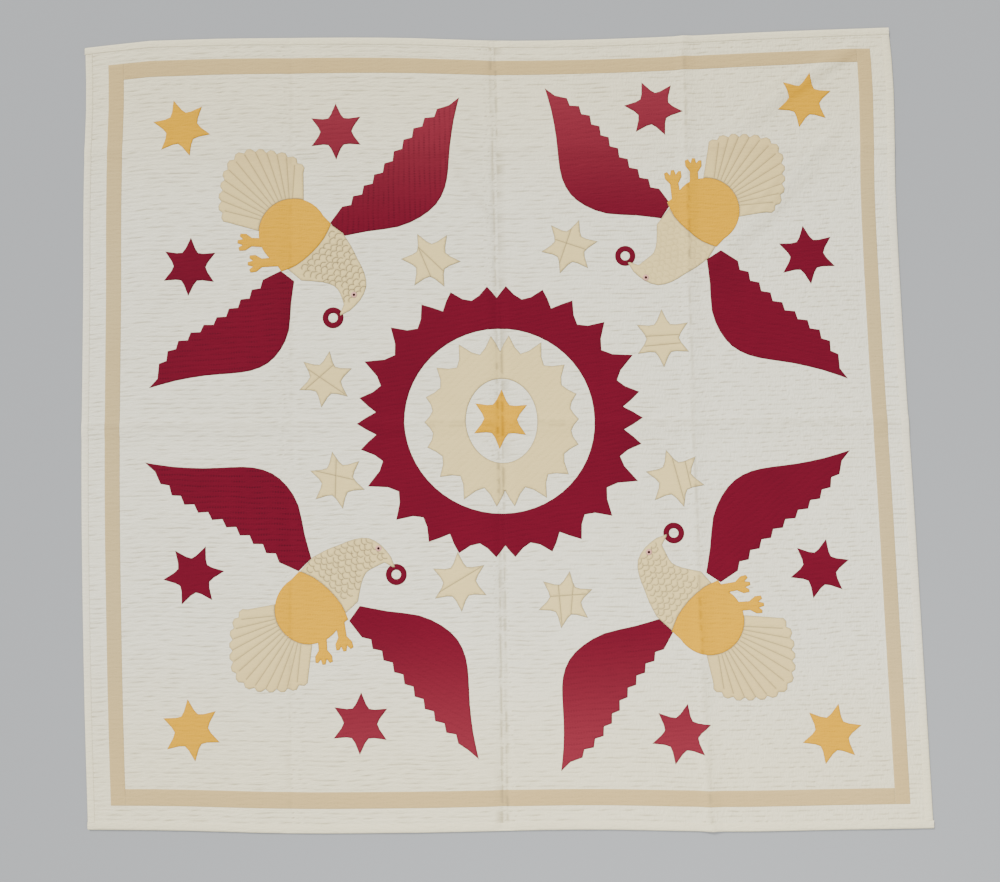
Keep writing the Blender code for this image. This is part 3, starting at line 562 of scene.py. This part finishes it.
def sewn_patch(name, material, slot, node, rows_at=None, lines=(), line_shade=0.5, edge_dirt_and_shade=0.5, thick=PATCH_THICK):
    """A sheet of cloth over a packed patch, edge turned under, quilted in rows or along drawn lines."""
    loops = [stepped(loop, EDGE_STEP, closed_line=True) for loop in patch_edges[node]]
    clean = [loop[np.r_[True, np.hypot(*np.diff(loop, axis=0).T) > SHORTEST_EDGE]] for loop in loops]
    edge_lines = closed(clean)
    corners = np.vstack(clean)
    low_corner, high_corner = corners.min(axis=0), corners.max(axis=0)
    if rows_at:
        turn, pitch, step = rows_at
        fill, shares, row_numbers = rows_of_places(low_corner, high_corner, math.radians(turn), pitch, step)
        spacing = STITCH_SHARE * pitch
    else:
        grid_x = np.arange(low_corner[0], high_corner[0], PLAIN_CELL)
        grid_y = np.arange(low_corner[1], high_corner[1], PLAIN_CELL * TRIANGLE_HEIGHT)
        grid_x, grid_y = np.meshgrid(grid_x, grid_y)
        grid_x[1::2] += PLAIN_CELL / 2
        fill = np.stack([grid_x.ravel(), grid_y.ravel()], axis=1)
        shares = np.full(len(fill), 0.5)
        row_numbers = np.zeros(len(fill))
        spacing = 0.4 * PLAIN_CELL
    kept = inside_loops(fill, clean)
    fill, shares, row_numbers = fill[kept], shares[kept], row_numbers[kept]
    kept = line_distance(fill, edge_lines) > TURNED_EDGE + spacing
    fill, shares, row_numbers = fill[kept], shares[kept], row_numbers[kept]
    lines = [stepped(np.array(line), LINE_STEP) for line in lines]
    if lines:
        kept = line_distance(fill, lines) > GROOVE_HALF + 0.35 * PLAIN_CELL
        fill, shares, row_numbers = fill[kept], shares[kept], row_numbers[kept]
        ribs = np.vstack([beside(line, side) if side else line
                          for line in lines for side in (-GROOVE_HALF, 0, GROOVE_HALF)])
        ribs = ribs[inside_loops(ribs, clean)]
        ribs = ribs[line_distance(ribs, edge_lines) > TURNED_EDGE + 0.5 * MM]
        fill = np.vstack([fill, ribs])
        shares = np.r_[shares, np.full(len(ribs), 0.5)]
        row_numbers = np.r_[row_numbers, np.zeros(len(ribs))]
    rims = np.vstack([beside(loop, TURNED_EDGE, closed_line=True) for loop in clean])
    rims = rims[inside_loops(rims, clean)]
    rims = rims[line_distance(rims, edge_lines) > 0.7 * TURNED_EDGE]
    points = np.vstack([corners, rims, fill])
    first_fill = len(corners) + len(rims)
    edges = []
    first = 0
    for loop in clean:
        edges += [(first + i, first + (i + 1) % len(loop)) for i in range(len(loop))]
        first += len(loop)
    spots = [Vector(place) for place in points]
    found, _, faces, started, *_ = delaunay_2d_cdt(spots, edges, [], 0, SAME_PLACE)
    flat = np.array([tuple(place) for place in found])
    faces = np.array([face for face in faces if len(face) == 3])
    faces = faces[inside_loops(flat[faces].mean(axis=1), clean)]
    share_of = np.full(len(flat), 0.5)
    row_of = np.zeros(len(flat), int)
    for number, sources in enumerate(started):
        if sources and sources[0] >= first_fill:
            share_of[number] = shares[sources[0] - first_fill]
            row_of[number] = row_numbers[sources[0] - first_fill]
    used = np.unique(faces)
    renumbered = np.zeros(len(flat), int)
    renumbered[used] = np.arange(len(used))
    flat, faces, share_of, row_of = flat[used], renumbered[faces], share_of[used], row_of[used]
    a, b, c = (flat[faces[:, i]] for i in range(3))
    turned = (b[:, 0] - a[:, 0]) * (c[:, 1] - a[:, 1]) < (b[:, 1] - a[:, 1]) * (c[:, 0] - a[:, 0])
    faces[turned] = faces[turned][:, ::-1]
    ground = top_at(flat[:, 0], flat[:, 1])
    from_edge = line_distance(flat, edge_lines)
    roll = np.sqrt(1 - (1 - np.clip(from_edge / TURNED_EDGE, 0, 1)) ** 2)
    heights = ground + PATCH_LIFT + thick * (TURNED_SHARE + (1 - TURNED_SHARE) * roll)
    puffed = np.clip(from_edge / PUFF_REACH, 0, 1) ** PUFF_CURVE
    # Dirt and painted shade along the turned edge, then painted shade along the quilting rows and the drawn
    # grooves
    dirt_and_painted_shade = edge_dirt_and_shade * np.exp(-(from_edge / EDGE_DIRT_AND_SHADE_REACH) ** 2)
    if rows_at:
        on_stitches = np.cos(math.pi * share_of) ** 2
        uneven = 0.6 + 0.5 * waver(flat[:, 0], flat[:, 1], 0.035, 9)
        puffed *= 1 - on_stitches * (0.15 + 0.40 * uneven)
        patchy = np.clip(0.7 + 0.5 * waver(flat[:, 0], flat[:, 1] + 0.013 * row_of, 0.05, 13), 0, 1)
        dirt_and_painted_shade = np.maximum(dirt_and_painted_shade, line_shade * patchy * np.clip(1 - np.abs(share_of) / STITCH_SHARE, 0, 1))
    if lines:
        from_line = line_distance(flat, lines)
        beside_line = np.clip(from_line / LINE_REACH, 0, 1) ** PUFF_CURVE
        puffed = np.minimum(puffed, PUFF_ON_LINE + (1 - PUFF_ON_LINE) * beside_line)
        heights -= GROOVE * np.exp(-(from_line / GROOVE_HALF) ** 2) * np.clip(from_edge / GROOVE_END, 0, 1)
        dirt_and_painted_shade = np.maximum(dirt_and_painted_shade, line_shade * np.exp(-(from_line / LINE_SHADE_REACH) ** 2))
        for line in lines:
            seen = line[inside_loops(line, clean)]
            if len(seen) > 1 and line_shade > FAINT_THREAD:
                lift = PATCH_LIFT + thick - 0.7 * GROOVE
                thread_lines.append(np.c_[seen, top_at(*seen.T) + lift])
    # Painted shade along the creases, on all but the red patches
    if slot != "red_cotton":
        dirt_and_painted_shade = np.maximum(dirt_and_painted_shade, PATCH_CREASE_SHADE * crease_shade(flat[:, 0], flat[:, 1], PATCH_CREASE_SHADE_REACH))
    heights += PATCH_PUFF * puffed
    count = len(flat)
    under = ground + UNDERSIDE_LIFT
    solid = np.vstack([np.c_[flat, heights], np.c_[flat, np.minimum(under, heights - LEAST_THICKNESS)]])
    sides = {}
    for face in faces:
        for start, end in zip(face, np.roll(face, -1)):
            if (end, start) in sides:
                del sides[(end, start)]
            else:
                sides[(start, end)] = True
    walls = [(start, start + count, end + count, end) for start, end in sides]
    mesh = bpy.data.meshes.new(name)
    mesh.from_pydata(solid.tolist(), [], [*faces.tolist(), *(faces[:, ::-1] + count).tolist(), *walls])
    mesh.polygons.foreach_set("use_smooth", np.ones(len(mesh.polygons), bool))
    layer = mesh.attributes.new("dirt_and_painted_shade", "FLOAT", "POINT")
    layer.data.foreach_set("value", np.r_[dirt_and_painted_shade, dirt_and_painted_shade * 0].astype(np.float32))
    mesh.materials.append(material)
    piece = add_object(name, mesh)
    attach(piece, "root")
    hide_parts(node)


# Each cloth's last colour is the dark colour of its painted shade and dirt
turkey_red = cotton("turkey_red_cotton", "#60081F", "#54061B", "#7A2834", 0.8, "#2A0310", 1.9)
cheddar = cotton("cheddar_yellow_cotton", "#D09A00", "#C48C00", "#C08C08", 0.5, "#7A4E04", 2.4)
tan_cotton = cotton("faded_tan_cotton", "#D6C184", "#CDB67C", "#C4A96E", 0.9, "#54493A", 1.4)
strip_cotton = cotton("tan_strip_cotton", "#B9A477", "#B09A6C", "#B99D66", 0.6, "#7F7257", 2.0)

# The tan frame. Four straight strips of tan cotton laid a hand's width in from the edge, the side
# strips running the full height and the top and bottom strips butting against them without a gap.

STRIP_THICK = 0.15 * MM
# Rows of quilting, here and below: turn in degrees, pitch, and the step from place to place along them
STRIP_ROWS = (0, ROW_PITCH, 8 * MM)
for side in ("left", "right", "bottom", "top"):
    sewn_patch(f"tan_strip_{side}", strip_cotton, "tan_cotton", f"frame_{side}",
               STRIP_ROWS, line_shade=0.2, edge_dirt_and_shade=0.0, thick=STRIP_THICK)

# The rings. A ring of one layer of red cotton with a row of sharp teeth outside, and a tan one inside
# it that is quilted on the slant.

RED_RING_ROWS = (8, ROW_PITCH, 6.5 * MM)
TAN_RING_ROWS = (42, 14 * MM, 6 * MM)
sewn_patch("red_toothed_ring", turkey_red, "red_cotton", "ring_red", RED_RING_ROWS, line_shade=0.25)
sewn_patch("tan_toothed_ring", tan_cotton, "tan_cotton", "ring_tan", TAN_RING_ROWS, line_shade=0.12, edge_dirt_and_shade=0.9)

# The stars. Six-pointed stars, each one piece of cotton. The red and yellow ones carry the rows of the
# ground on across them, and the tan ones are quilted along a line or two.

# Lines across a tan star: turn in degrees and distance of the line to its left, in mm
STAR_LINES = {
    "star_tan_1": ((-45, 2), (-68, -16)),
    "star_tan_2": ((-35, 0), (40, 12)),
    "star_tan_3": ((-20, 6), (70, 10)),
    "star_tan_4": ((2, 8), (4, -14)),
    "star_tan_5": ((104, 12), (101, -14)),
    "star_tan_6": ((94, 14), (84, -16), (3, 10)),
    "star_tan_7": ((88, 4), (-14, 10)),
    "star_tan_8": ((30, 4),),
}
STAR_LINE_REACH = 60 * MM
RED_ROWS = (4, ROW_PITCH, 6 * MM)
YELLOW_ROWS = (-4, ROW_PITCH, 6 * MM)

for node in patch_edges:
    if not node.startswith("star"):
        continue
    if "tan" in node:
        middle = patch_edges[node][0].mean(axis=0)
        crossings = []
        for turn, aside in STAR_LINES[node]:
            ahead = np.array((math.cos(math.radians(turn)), math.sin(math.radians(turn))))
            start = middle + np.array((-ahead[1], ahead[0])) * aside * MM
            crossings.append([start - ahead * STAR_LINE_REACH, start + ahead * STAR_LINE_REACH])
        sewn_patch(f"{node}_patch", tan_cotton, "tan_cotton", node, lines=crossings, line_shade=0.8, edge_dirt_and_shade=0.95)
    elif "red" in node:
        sewn_patch(f"{node}_patch", turkey_red, "red_cotton", node, RED_ROWS, line_shade=0.2)
    else:
        sewn_patch(f"{node}_patch", cheddar, "yellow_cotton", node, YELLOW_ROWS, line_shade=0.2)

# The eagles. Yellow body with both legs in one piece, tan neck and head with scale quilting, tan fan
# tail with a ray to every scallop, two red wings with toothed back edges, and a red ring in the beak.

# Each bird: middle of the body, heading in degrees, scale, turn of the tail, how dark the painted shade along
# the scales on its neck is, then the turn of the rows on its left and right wing and how dark the painted
# shade along them is
EAGLES = {
    "top_left": ((-0.4925, 0.4807), -46.8, 1.00, -6, 1.0, (90, 0.55), (2, 0.5)),
    "top_right": ((0.5325, 0.5127), -134.0, 0.95, -2, 0.2, (-12, 0.2), (3, 0.2)),
    "bottom_right": ((0.5185, -0.4853), 137.0, 0.96, 2, 0.75, (4, 0.25), (38, 0.2)),
    "bottom_left": ((-0.4525, -0.4533), 45.5, 0.98, 1, 0.9, (-2, 0.65), (-30, 0.15)),
}
# In the bird's own frame, right of it and ahead, before its scale
FAN_MIDDLE = np.array((-0.008, -0.130))
FAN_RADIUS = 0.1135
FAN_ARC = (168, 362)
FAN_SCALLOPS = 13
FAN_ROOT = np.array(((-0.060, -0.046), (0.040, -0.050)))
NECK_BOX = ((-0.10, 0.06), (0.04, 0.24))
SCALE_WIDE = 19 * MM
SCALE_DEEP = 13 * MM
SCALE_ARC = (200, 340)
SCALE_PLACES = 6
# Each scale is drawn by hand, so it drifts by up to this many mm and differs in size
SCALE_DRIFT = 2.2
SCALE_SIZES = (0.85, 1.1)
SCALE_CLEAR = 3 * MM
# A tail's rays end at this share of its radius, and start from this first share and spread of its root
RAY_END = 0.93
RAY_START, RAY_SPREAD = 0.2, 0.6
WING_PITCH = 13 * MM
WING_STEP = 6.5 * MM


def on_bird(bird, spots):
    """Places given in a bird's own frame, where they lie on the quilt."""
    middle, heading, size, *_ = EAGLES[bird]
    heading = math.radians(heading)
    ahead = np.array((math.cos(heading), math.sin(heading)))
    rightward = np.array((ahead[1], -ahead[0]))
    spots = np.atleast_2d(spots) * size
    return np.array(middle) + rightward * spots[:, :1] + ahead * spots[:, 1:]


for bird, (_, _, _, tail_turn, scale_line_shade, left_rows, right_rows) in EAGLES.items():
    prefix = f"eagle_{bird}"
    sewn_patch(f"{prefix}_body_patch", cheddar, "yellow_cotton", f"{prefix}_body", YELLOW_ROWS, line_shade=0.25)
    scales = []
    arc = np.radians(np.linspace(*SCALE_ARC, SCALE_PLACES))
    draws = np.random.default_rng(5)
    for row, up_neck in enumerate(np.arange(NECK_BOX[0][1], NECK_BOX[1][1], SCALE_DEEP)):
        for along in np.arange(NECK_BOX[0][0], NECK_BOX[1][0], SCALE_WIDE) + (row % 2) * SCALE_WIDE / 2:
            centre = np.array((along, up_neck)) + draws.uniform(-SCALE_DRIFT, SCALE_DRIFT, 2) * MM
            reach = SCALE_WIDE / 2 * draws.uniform(*SCALE_SIZES, (len(arc), 1))
            scales.append(on_bird(bird, centre + np.stack([np.cos(arc), np.sin(arc)], axis=1) * reach))
    neck_edge = closed(patch_edges[f"{prefix}_head"])
    scales = [line for line in scales
              if inside_loops(line[2:4], patch_edges[f"{prefix}_head"]).all()
              and line_distance(line[2:4], neck_edge).min() > SCALE_CLEAR]
    sewn_patch(f"{prefix}_neck_patch", tan_cotton, "tan_cotton", f"{prefix}_head", lines=scales,
               line_shade=scale_line_shade, edge_dirt_and_shade=0.8)
    turn = math.radians(tail_turn)
    turned_tail = np.array(((math.cos(turn), -math.sin(turn)), (math.sin(turn), math.cos(turn))))
    rays = []
    for notch in range(1, FAN_SCALLOPS):
        share = notch / FAN_SCALLOPS
        angle = math.radians(FAN_ARC[0] + (FAN_ARC[1] - FAN_ARC[0]) * share)
        tip = FAN_MIDDLE + RAY_END * FAN_RADIUS * np.array((math.cos(angle), math.sin(angle)))
        root = FAN_ROOT[0] + (FAN_ROOT[1] - FAN_ROOT[0]) * (RAY_START + RAY_SPREAD * share)
        rays.append(on_bird(bird, np.array((root, tip)) @ turned_tail.T))
    sewn_patch(f"{prefix}_tail_patch", tan_cotton, "tan_cotton", f"{prefix}_tail", lines=rays,
               line_shade=0.7, edge_dirt_and_shade=0.7)
    for side, (turn, line_shade) in (("left", left_rows), ("right", right_rows)):
        sewn_patch(f"{prefix}_{side}_wing_patch", turkey_red, "red_cotton", f"{prefix}_{side}_wing",
                   (turn, WING_PITCH, WING_STEP), line_shade=line_shade)
    sewn_patch(f"{prefix}_ring_patch", turkey_red, "red_cotton", f"{prefix}_beak_ring", line_shade=0.2)

# The eyes. Worked in satin stitch straight onto each head: a pink disc of thread as wide as a
# fingernail, with a smaller dark red pupil over it.

# The middle of each eye in its bird's own frame, right of it and ahead
EYES = {
    "top_left": (-0.006, 0.220),
    "top_right": (-0.010, 0.232),
    "bottom_left": (0.016, 0.228),
    "bottom_right": (0.020, 0.223),
}
EYE_RADIUS = 7.5 * MM
PUPIL_RADIUS = 3.6 * MM
EYE_RISE = 0.9 * MM
EYE_LIFT = PATCH_LIFT + PATCH_THICK + 0.75 * MM
PUPIL_LIFT = EYE_LIFT + 0.6 * MM
# Places round a disc, its rings as shares of its radius, and how far every other thread stands up
DISC_PLACES = 36
DISC_RINGS = (0.35, 0.65, 0.88, 1.0)
THREAD_RISE = 0.12 * MM
pink_floss = cotton("pink_embroidery_floss", "#C8978A", "#BE8B7E", "#C8978A", 0.0, "#8E5A55", 0.5)
dark_floss = cotton("dark_red_embroidery_floss", "#1E060B", "#180408", "#1E060B", 0.0, "#100305", 0.5)


def satin_disc(name, middle, radius, lift, rise, material):
    """A low dome of thread laid side by side across it."""
    around = np.linspace(0, 2 * math.pi, DISC_PLACES, endpoint=False)
    spots = [(0.0, 0.0, rise)]
    for share in DISC_RINGS:
        dome = rise * math.sqrt(max(0.0, 1 - share ** 2))
        for number, angle in enumerate(around):
            thread = THREAD_RISE * (number % 2) * min(1, 2 * (1 - share) + 0.3)
            spots.append((radius * share * math.cos(angle), radius * share * math.sin(angle), dome + thread))
    spots = np.array(spots) + np.array((*middle, 0.0))
    spots[:, 2] += top_at(spots[:, 0], spots[:, 1]) + lift
    count = len(around)
    faces = [(0, 1 + i, 1 + (i + 1) % count) for i in range(count)]
    for ring in range(len(DISC_RINGS) - 1):
        base = 1 + ring * count
        faces += [(base + i, base + count + i, base + count + (i + 1) % count, base + (i + 1) % count)
                  for i in range(count)]
    faces.append(tuple(reversed(range(len(spots) - count, len(spots)))))
    mesh = bpy.data.meshes.new(name)
    mesh.from_pydata(spots.tolist(), [], faces)
    mesh.polygons.foreach_set("use_smooth", np.ones(len(mesh.polygons), bool))
    mesh.materials.append(material)
    piece = add_object(name, mesh)
    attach(piece, "root")
    return piece


for bird, spot in EYES.items():
    place = on_bird(bird, spot)[0]
    satin_disc(f"eagle_{bird}_eye", place, EYE_RADIUS, EYE_LIFT, EYE_RISE, pink_floss)
    satin_disc(f"eagle_{bird}_pupil", place, PUPIL_RADIUS, PUPIL_LIFT, EYE_RISE, dark_floss)

# The binding. A strip of the same muslin folded over the raw edge and hemmed down by hand on the
# front, where it is 19 mm wide, and on the back, where it is a little narrower.

binding_cotton = cotton("muslin_binding", "#DFD9C2", "#D5CEB4", "#DBD2AE", 0.8, "#A89E80", 3.0)
BINDING_STEP = 3.2 * MM
# The strip's section: distance in from the edge, then height, from the front hem round to the back
FRONT_SECTION = ((19.0, 0.10), (18.5, 0.70), (16.5, 1.05), (11.0, 1.10), (5.0, 1.00), (2.0, 0.20))
EDGE_SECTION = ((0.6, 3.0), (0.0, 2.1), (0.3, 1.1), (1.3, 0.35))
BACK_SECTION = ((4.0, 0.0), (15.0, 0.0))
HEM_INWARD = 18.2 * MM
HEM_LIFT = 0.95 * MM
# The strip's width and the height of its gathers in mm, and the way from one gather to the next
BINDING_WIDE = 19
GATHER = 0.30
GATHER_PITCH = 13 * MM
# The lie of the quilt's edge is read this far in from it
EDGE_READ_AT = 4 * MM
# An outer edge lies at least this far beyond the quilted body
PAST_BODY = 0.5 * MM

edges_of_bindings = {side: cut_edges(f"binding_{side}")[0] for side in ("top", "bottom", "left", "right")}


def outer_edge(side):
    """The binding's outer edge along one side, from its own packed strip, left to right or bottom to top."""
    loop = edges_of_bindings[side]
    axis = 0 if side in ("top", "bottom") else 1
    inner = {"top": top_side, "bottom": bottom_side, "left": left_side, "right": right_side}[side]
    out = {"top": (0, 1), "bottom": (0, -1), "left": (-1, 0), "right": (1, 0)}[side]
    expected = np.interp(loop[:, axis], inner[:, axis], inner[:, 1 - axis])
    beyond = (loop[:, 1 - axis] - expected) * out[1 - axis]
    kept = loop[beyond > PAST_BODY]
    return kept[np.argsort(kept[:, axis])], axis, np.array(out, float)


hem_lines = []
for side in ("top", "bottom", "left", "right"):
    line, axis, out = outer_edge(side)
    line = stepped(line, BINDING_STEP)
    run = np.r_[0, np.cumsum(np.hypot(*np.diff(line, axis=0).T))]
    pull = GATHER * np.sin(2 * math.pi * run / GATHER_PITCH + 2.0 * waver(line[:, 0], line[:, 1], 0.05, 3))
    section = []
    hem = line - out * HEM_INWARD
    hem_lines.append(np.c_[hem, top_at(*hem.T) + HEM_LIFT])
    for inward, lift in FRONT_SECTION:
        spot = line - out * inward * MM
        gather = pull * MM * math.sin(math.pi * min(1, inward / BINDING_WIDE)) if inward > 1 else 0
        section.append(np.c_[spot, top_at(*spot.T) + lift * MM + gather])
    edge_lift = np.maximum(top_at(*(line - out * EDGE_READ_AT).T) - BODY_TOP, 0)
    for inward, height in EDGE_SECTION + BACK_SECTION:
        section.append(np.c_[line - out * inward * MM, height * MM + edge_lift])
    strip = grid_mesh(f"binding_strip_{side}", np.array(section), flip=side in ("top", "left"))
    strip.data.materials.append(binding_cotton)
    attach(strip, "root")
    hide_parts(f"binding_{side}")

# The thread. Running stitches of fine brown cotton along the lines on the tan patches, and small white
# hem stitches along the binding, each laid in by hand and so a little uneven in length.

# The way from stitch to stitch, then a stitch's length, width and height
BROWN_SPACING = 4.2 * MM
BROWN_STITCH = (2.9 * MM, 0.75 * MM, 0.6 * MM)
HEM_SPACING = 6.0 * MM
HEM_STITCH = (3.0 * MM, 0.8 * MM, 0.6 * MM)


def running_stitches(name, lines, spacing, size, floss):
    """Single stitches in a row along each of these lines."""
    tree = bpy.data.node_groups.new(f"{name}_stitching", "GeometryNodeTree")
    for label, kind in (("Lines", "NodeSocketGeometry"), ("Spacing", "NodeSocketFloat"),
                        ("Stitch Size", "NodeSocketVector"), ("Thread", "NodeSocketMaterial")):
        tree.interface.new_socket(name=label, in_out="INPUT", socket_type=kind)
    tree.interface.new_socket(name="Stitches", in_out="OUTPUT", socket_type="NodeSocketGeometry")
    given = add(tree, "NodeGroupInput").outputs
    curve = add(tree, "GeometryNodeMeshToCurve", Mesh=given["Lines"])
    even = add(tree, "GeometryNodeResampleCurve", {"mode": "LENGTH"}, Curve=curve.outputs[0],
               Length=given["Spacing"])
    ball = add(tree, "GeometryNodeMeshUVSphere", Segments=4, Rings=2, Radius=0.5)
    stitch = add(tree, "GeometryNodeTransform", Geometry=ball.outputs["Mesh"], Scale=given["Stitch Size"])
    run = add(tree, "GeometryNodeInputTangent")
    turn = add(tree, "FunctionNodeAlignRotationToVector", {"axis": "X"}, Vector=run.outputs[0])
    uneven = add(tree, "FunctionNodeRandomValue", {"data_type": "FLOAT"}, i2=0.75, i3=1.15, Seed=3)
    laid = add(tree, "GeometryNodeInstanceOnPoints", Points=even.outputs[0], Instance=stitch.outputs[0],
               Rotation=turn.outputs[0], Scale=uneven.outputs[1])
    real = add(tree, "GeometryNodeRealizeInstances", Geometry=laid.outputs[0])
    threaded = add(tree, "GeometryNodeSetMaterial", Geometry=real.outputs[0], Material=given["Thread"])
    add(tree, "NodeGroupOutput", Stitches=threaded.outputs[0])
    guide_mesh = bpy.data.meshes.new(f"{name}_guide")
    starts = np.cumsum([0] + [len(line) for line in lines])
    pairs = [(first + i, first + i + 1) for first, line in zip(starts, lines) for i in range(len(line) - 1)]
    guide_mesh.from_pydata(np.vstack(lines).tolist(), pairs, [])
    guide = add_object(f"{name}_guide", guide_mesh)
    sewing = guide.modifiers.new("stitching", "NODES")
    sewing.node_group = tree
    wanted = {"Spacing": spacing, "Stitch Size": size, "Thread": floss}
    for item in tree.interface.items_tree:
        if item.in_out == "INPUT" and item.name in wanted:
            sewing[item.identifier] = wanted[item.name]
    laid_in = guide.evaluated_get(bpy.context.evaluated_depsgraph_get())
    mesh = bpy.data.meshes.new_from_object(laid_in)
    mesh.name = name
    bpy.data.objects.remove(guide)
    piece = add_object(name, mesh)
    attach(piece, "root")
    return piece


brown_thread = cotton("brown_quilting_thread", "#6A5B45", "#5E503C", "#6A5B45", 0.0, "#4C4030", 0.3)
white_thread = cotton("white_hemming_thread", "#D9D2B8", "#CFC7AA", "#D9D2B8", 0.0, "#A89E80", 0.3)
sewing = [
    running_stitches("patch_quilting_thread", thread_lines, BROWN_SPACING, BROWN_STITCH, brown_thread),
    running_stitches("binding_hem_thread", hem_lines, HEM_SPACING, HEM_STITCH, white_thread),
]

# The studio. A plain pale floor just under the quilt, soft light from all round, and a camera almost
# straight over the quilt.

FLOOR = "#8A8C8E"
FLOOR_REACH = 6
FLOOR_HEIGHT = -1 * MM
floor_corners = [(x * FLOOR_REACH, y * FLOOR_REACH, FLOOR_HEIGHT)
                 for x, y in ((-1, -1), (1, -1), (1, 1), (-1, 1))]
floor_mesh = bpy.data.meshes.new("studio_floor")
floor_mesh.from_pydata(floor_corners, [], [(0, 1, 2, 3)])
floor = add_object("studio_floor", floor_mesh)
floor_paint = bpy.data.materials.new("matt_floor_paint")
floor_paint.use_nodes = True
floor_paint.node_tree.nodes["Principled BSDF"].inputs["Base Color"].default_value = linear(FLOOR)
floor_paint.node_tree.nodes["Principled BSDF"].inputs["Roughness"].default_value = 0.9
floor_mesh.materials.append(floor_paint)

world = bpy.data.worlds.new("soft_studio")
world.use_nodes = True
world.node_tree.nodes["Background"].inputs["Color"].default_value = (1.0, 1.0, 1.0, 1.0)
world.node_tree.nodes["Background"].inputs["Strength"].default_value = 1.02
bpy.context.scene.world = world

# A low soft sun from the top left brings out the rows, a wide panel lifts the bottom right
SUN_FROM = (-0.55, 0.85, 0.72)
PANEL_PLACE = (0.5, -1.7, 2.0)
sun = bpy.data.lights.new("low_window", "SUN")
sun.energy = 5.5
sun.angle = math.radians(14)
panel = bpy.data.lights.new("wide_panel", "AREA")
panel.size = 1.6
panel.energy = 40.0
for lamp, spot in ((sun, SUN_FROM), (panel, PANEL_PLACE)):
    holder = add_object(lamp.name, lamp)
    holder.location = spot
    holder.rotation_euler = (-Vector(spot)).to_track_quat("-Z", "Y").to_euler()

CAMERA_PLACE = (0.0882, -0.1437, 2.0896)
CAMERA_TURN = (2.597, 1.956, -1.138)
lens = bpy.data.cameras.new("camera")
lens.sensor_width = 36.0
lens.lens = 30.6
camera = add_object("camera", lens)
camera.location = CAMERA_PLACE
camera.rotation_euler = [math.radians(turn) for turn in CAMERA_TURN]
bpy.context.scene.camera = camera
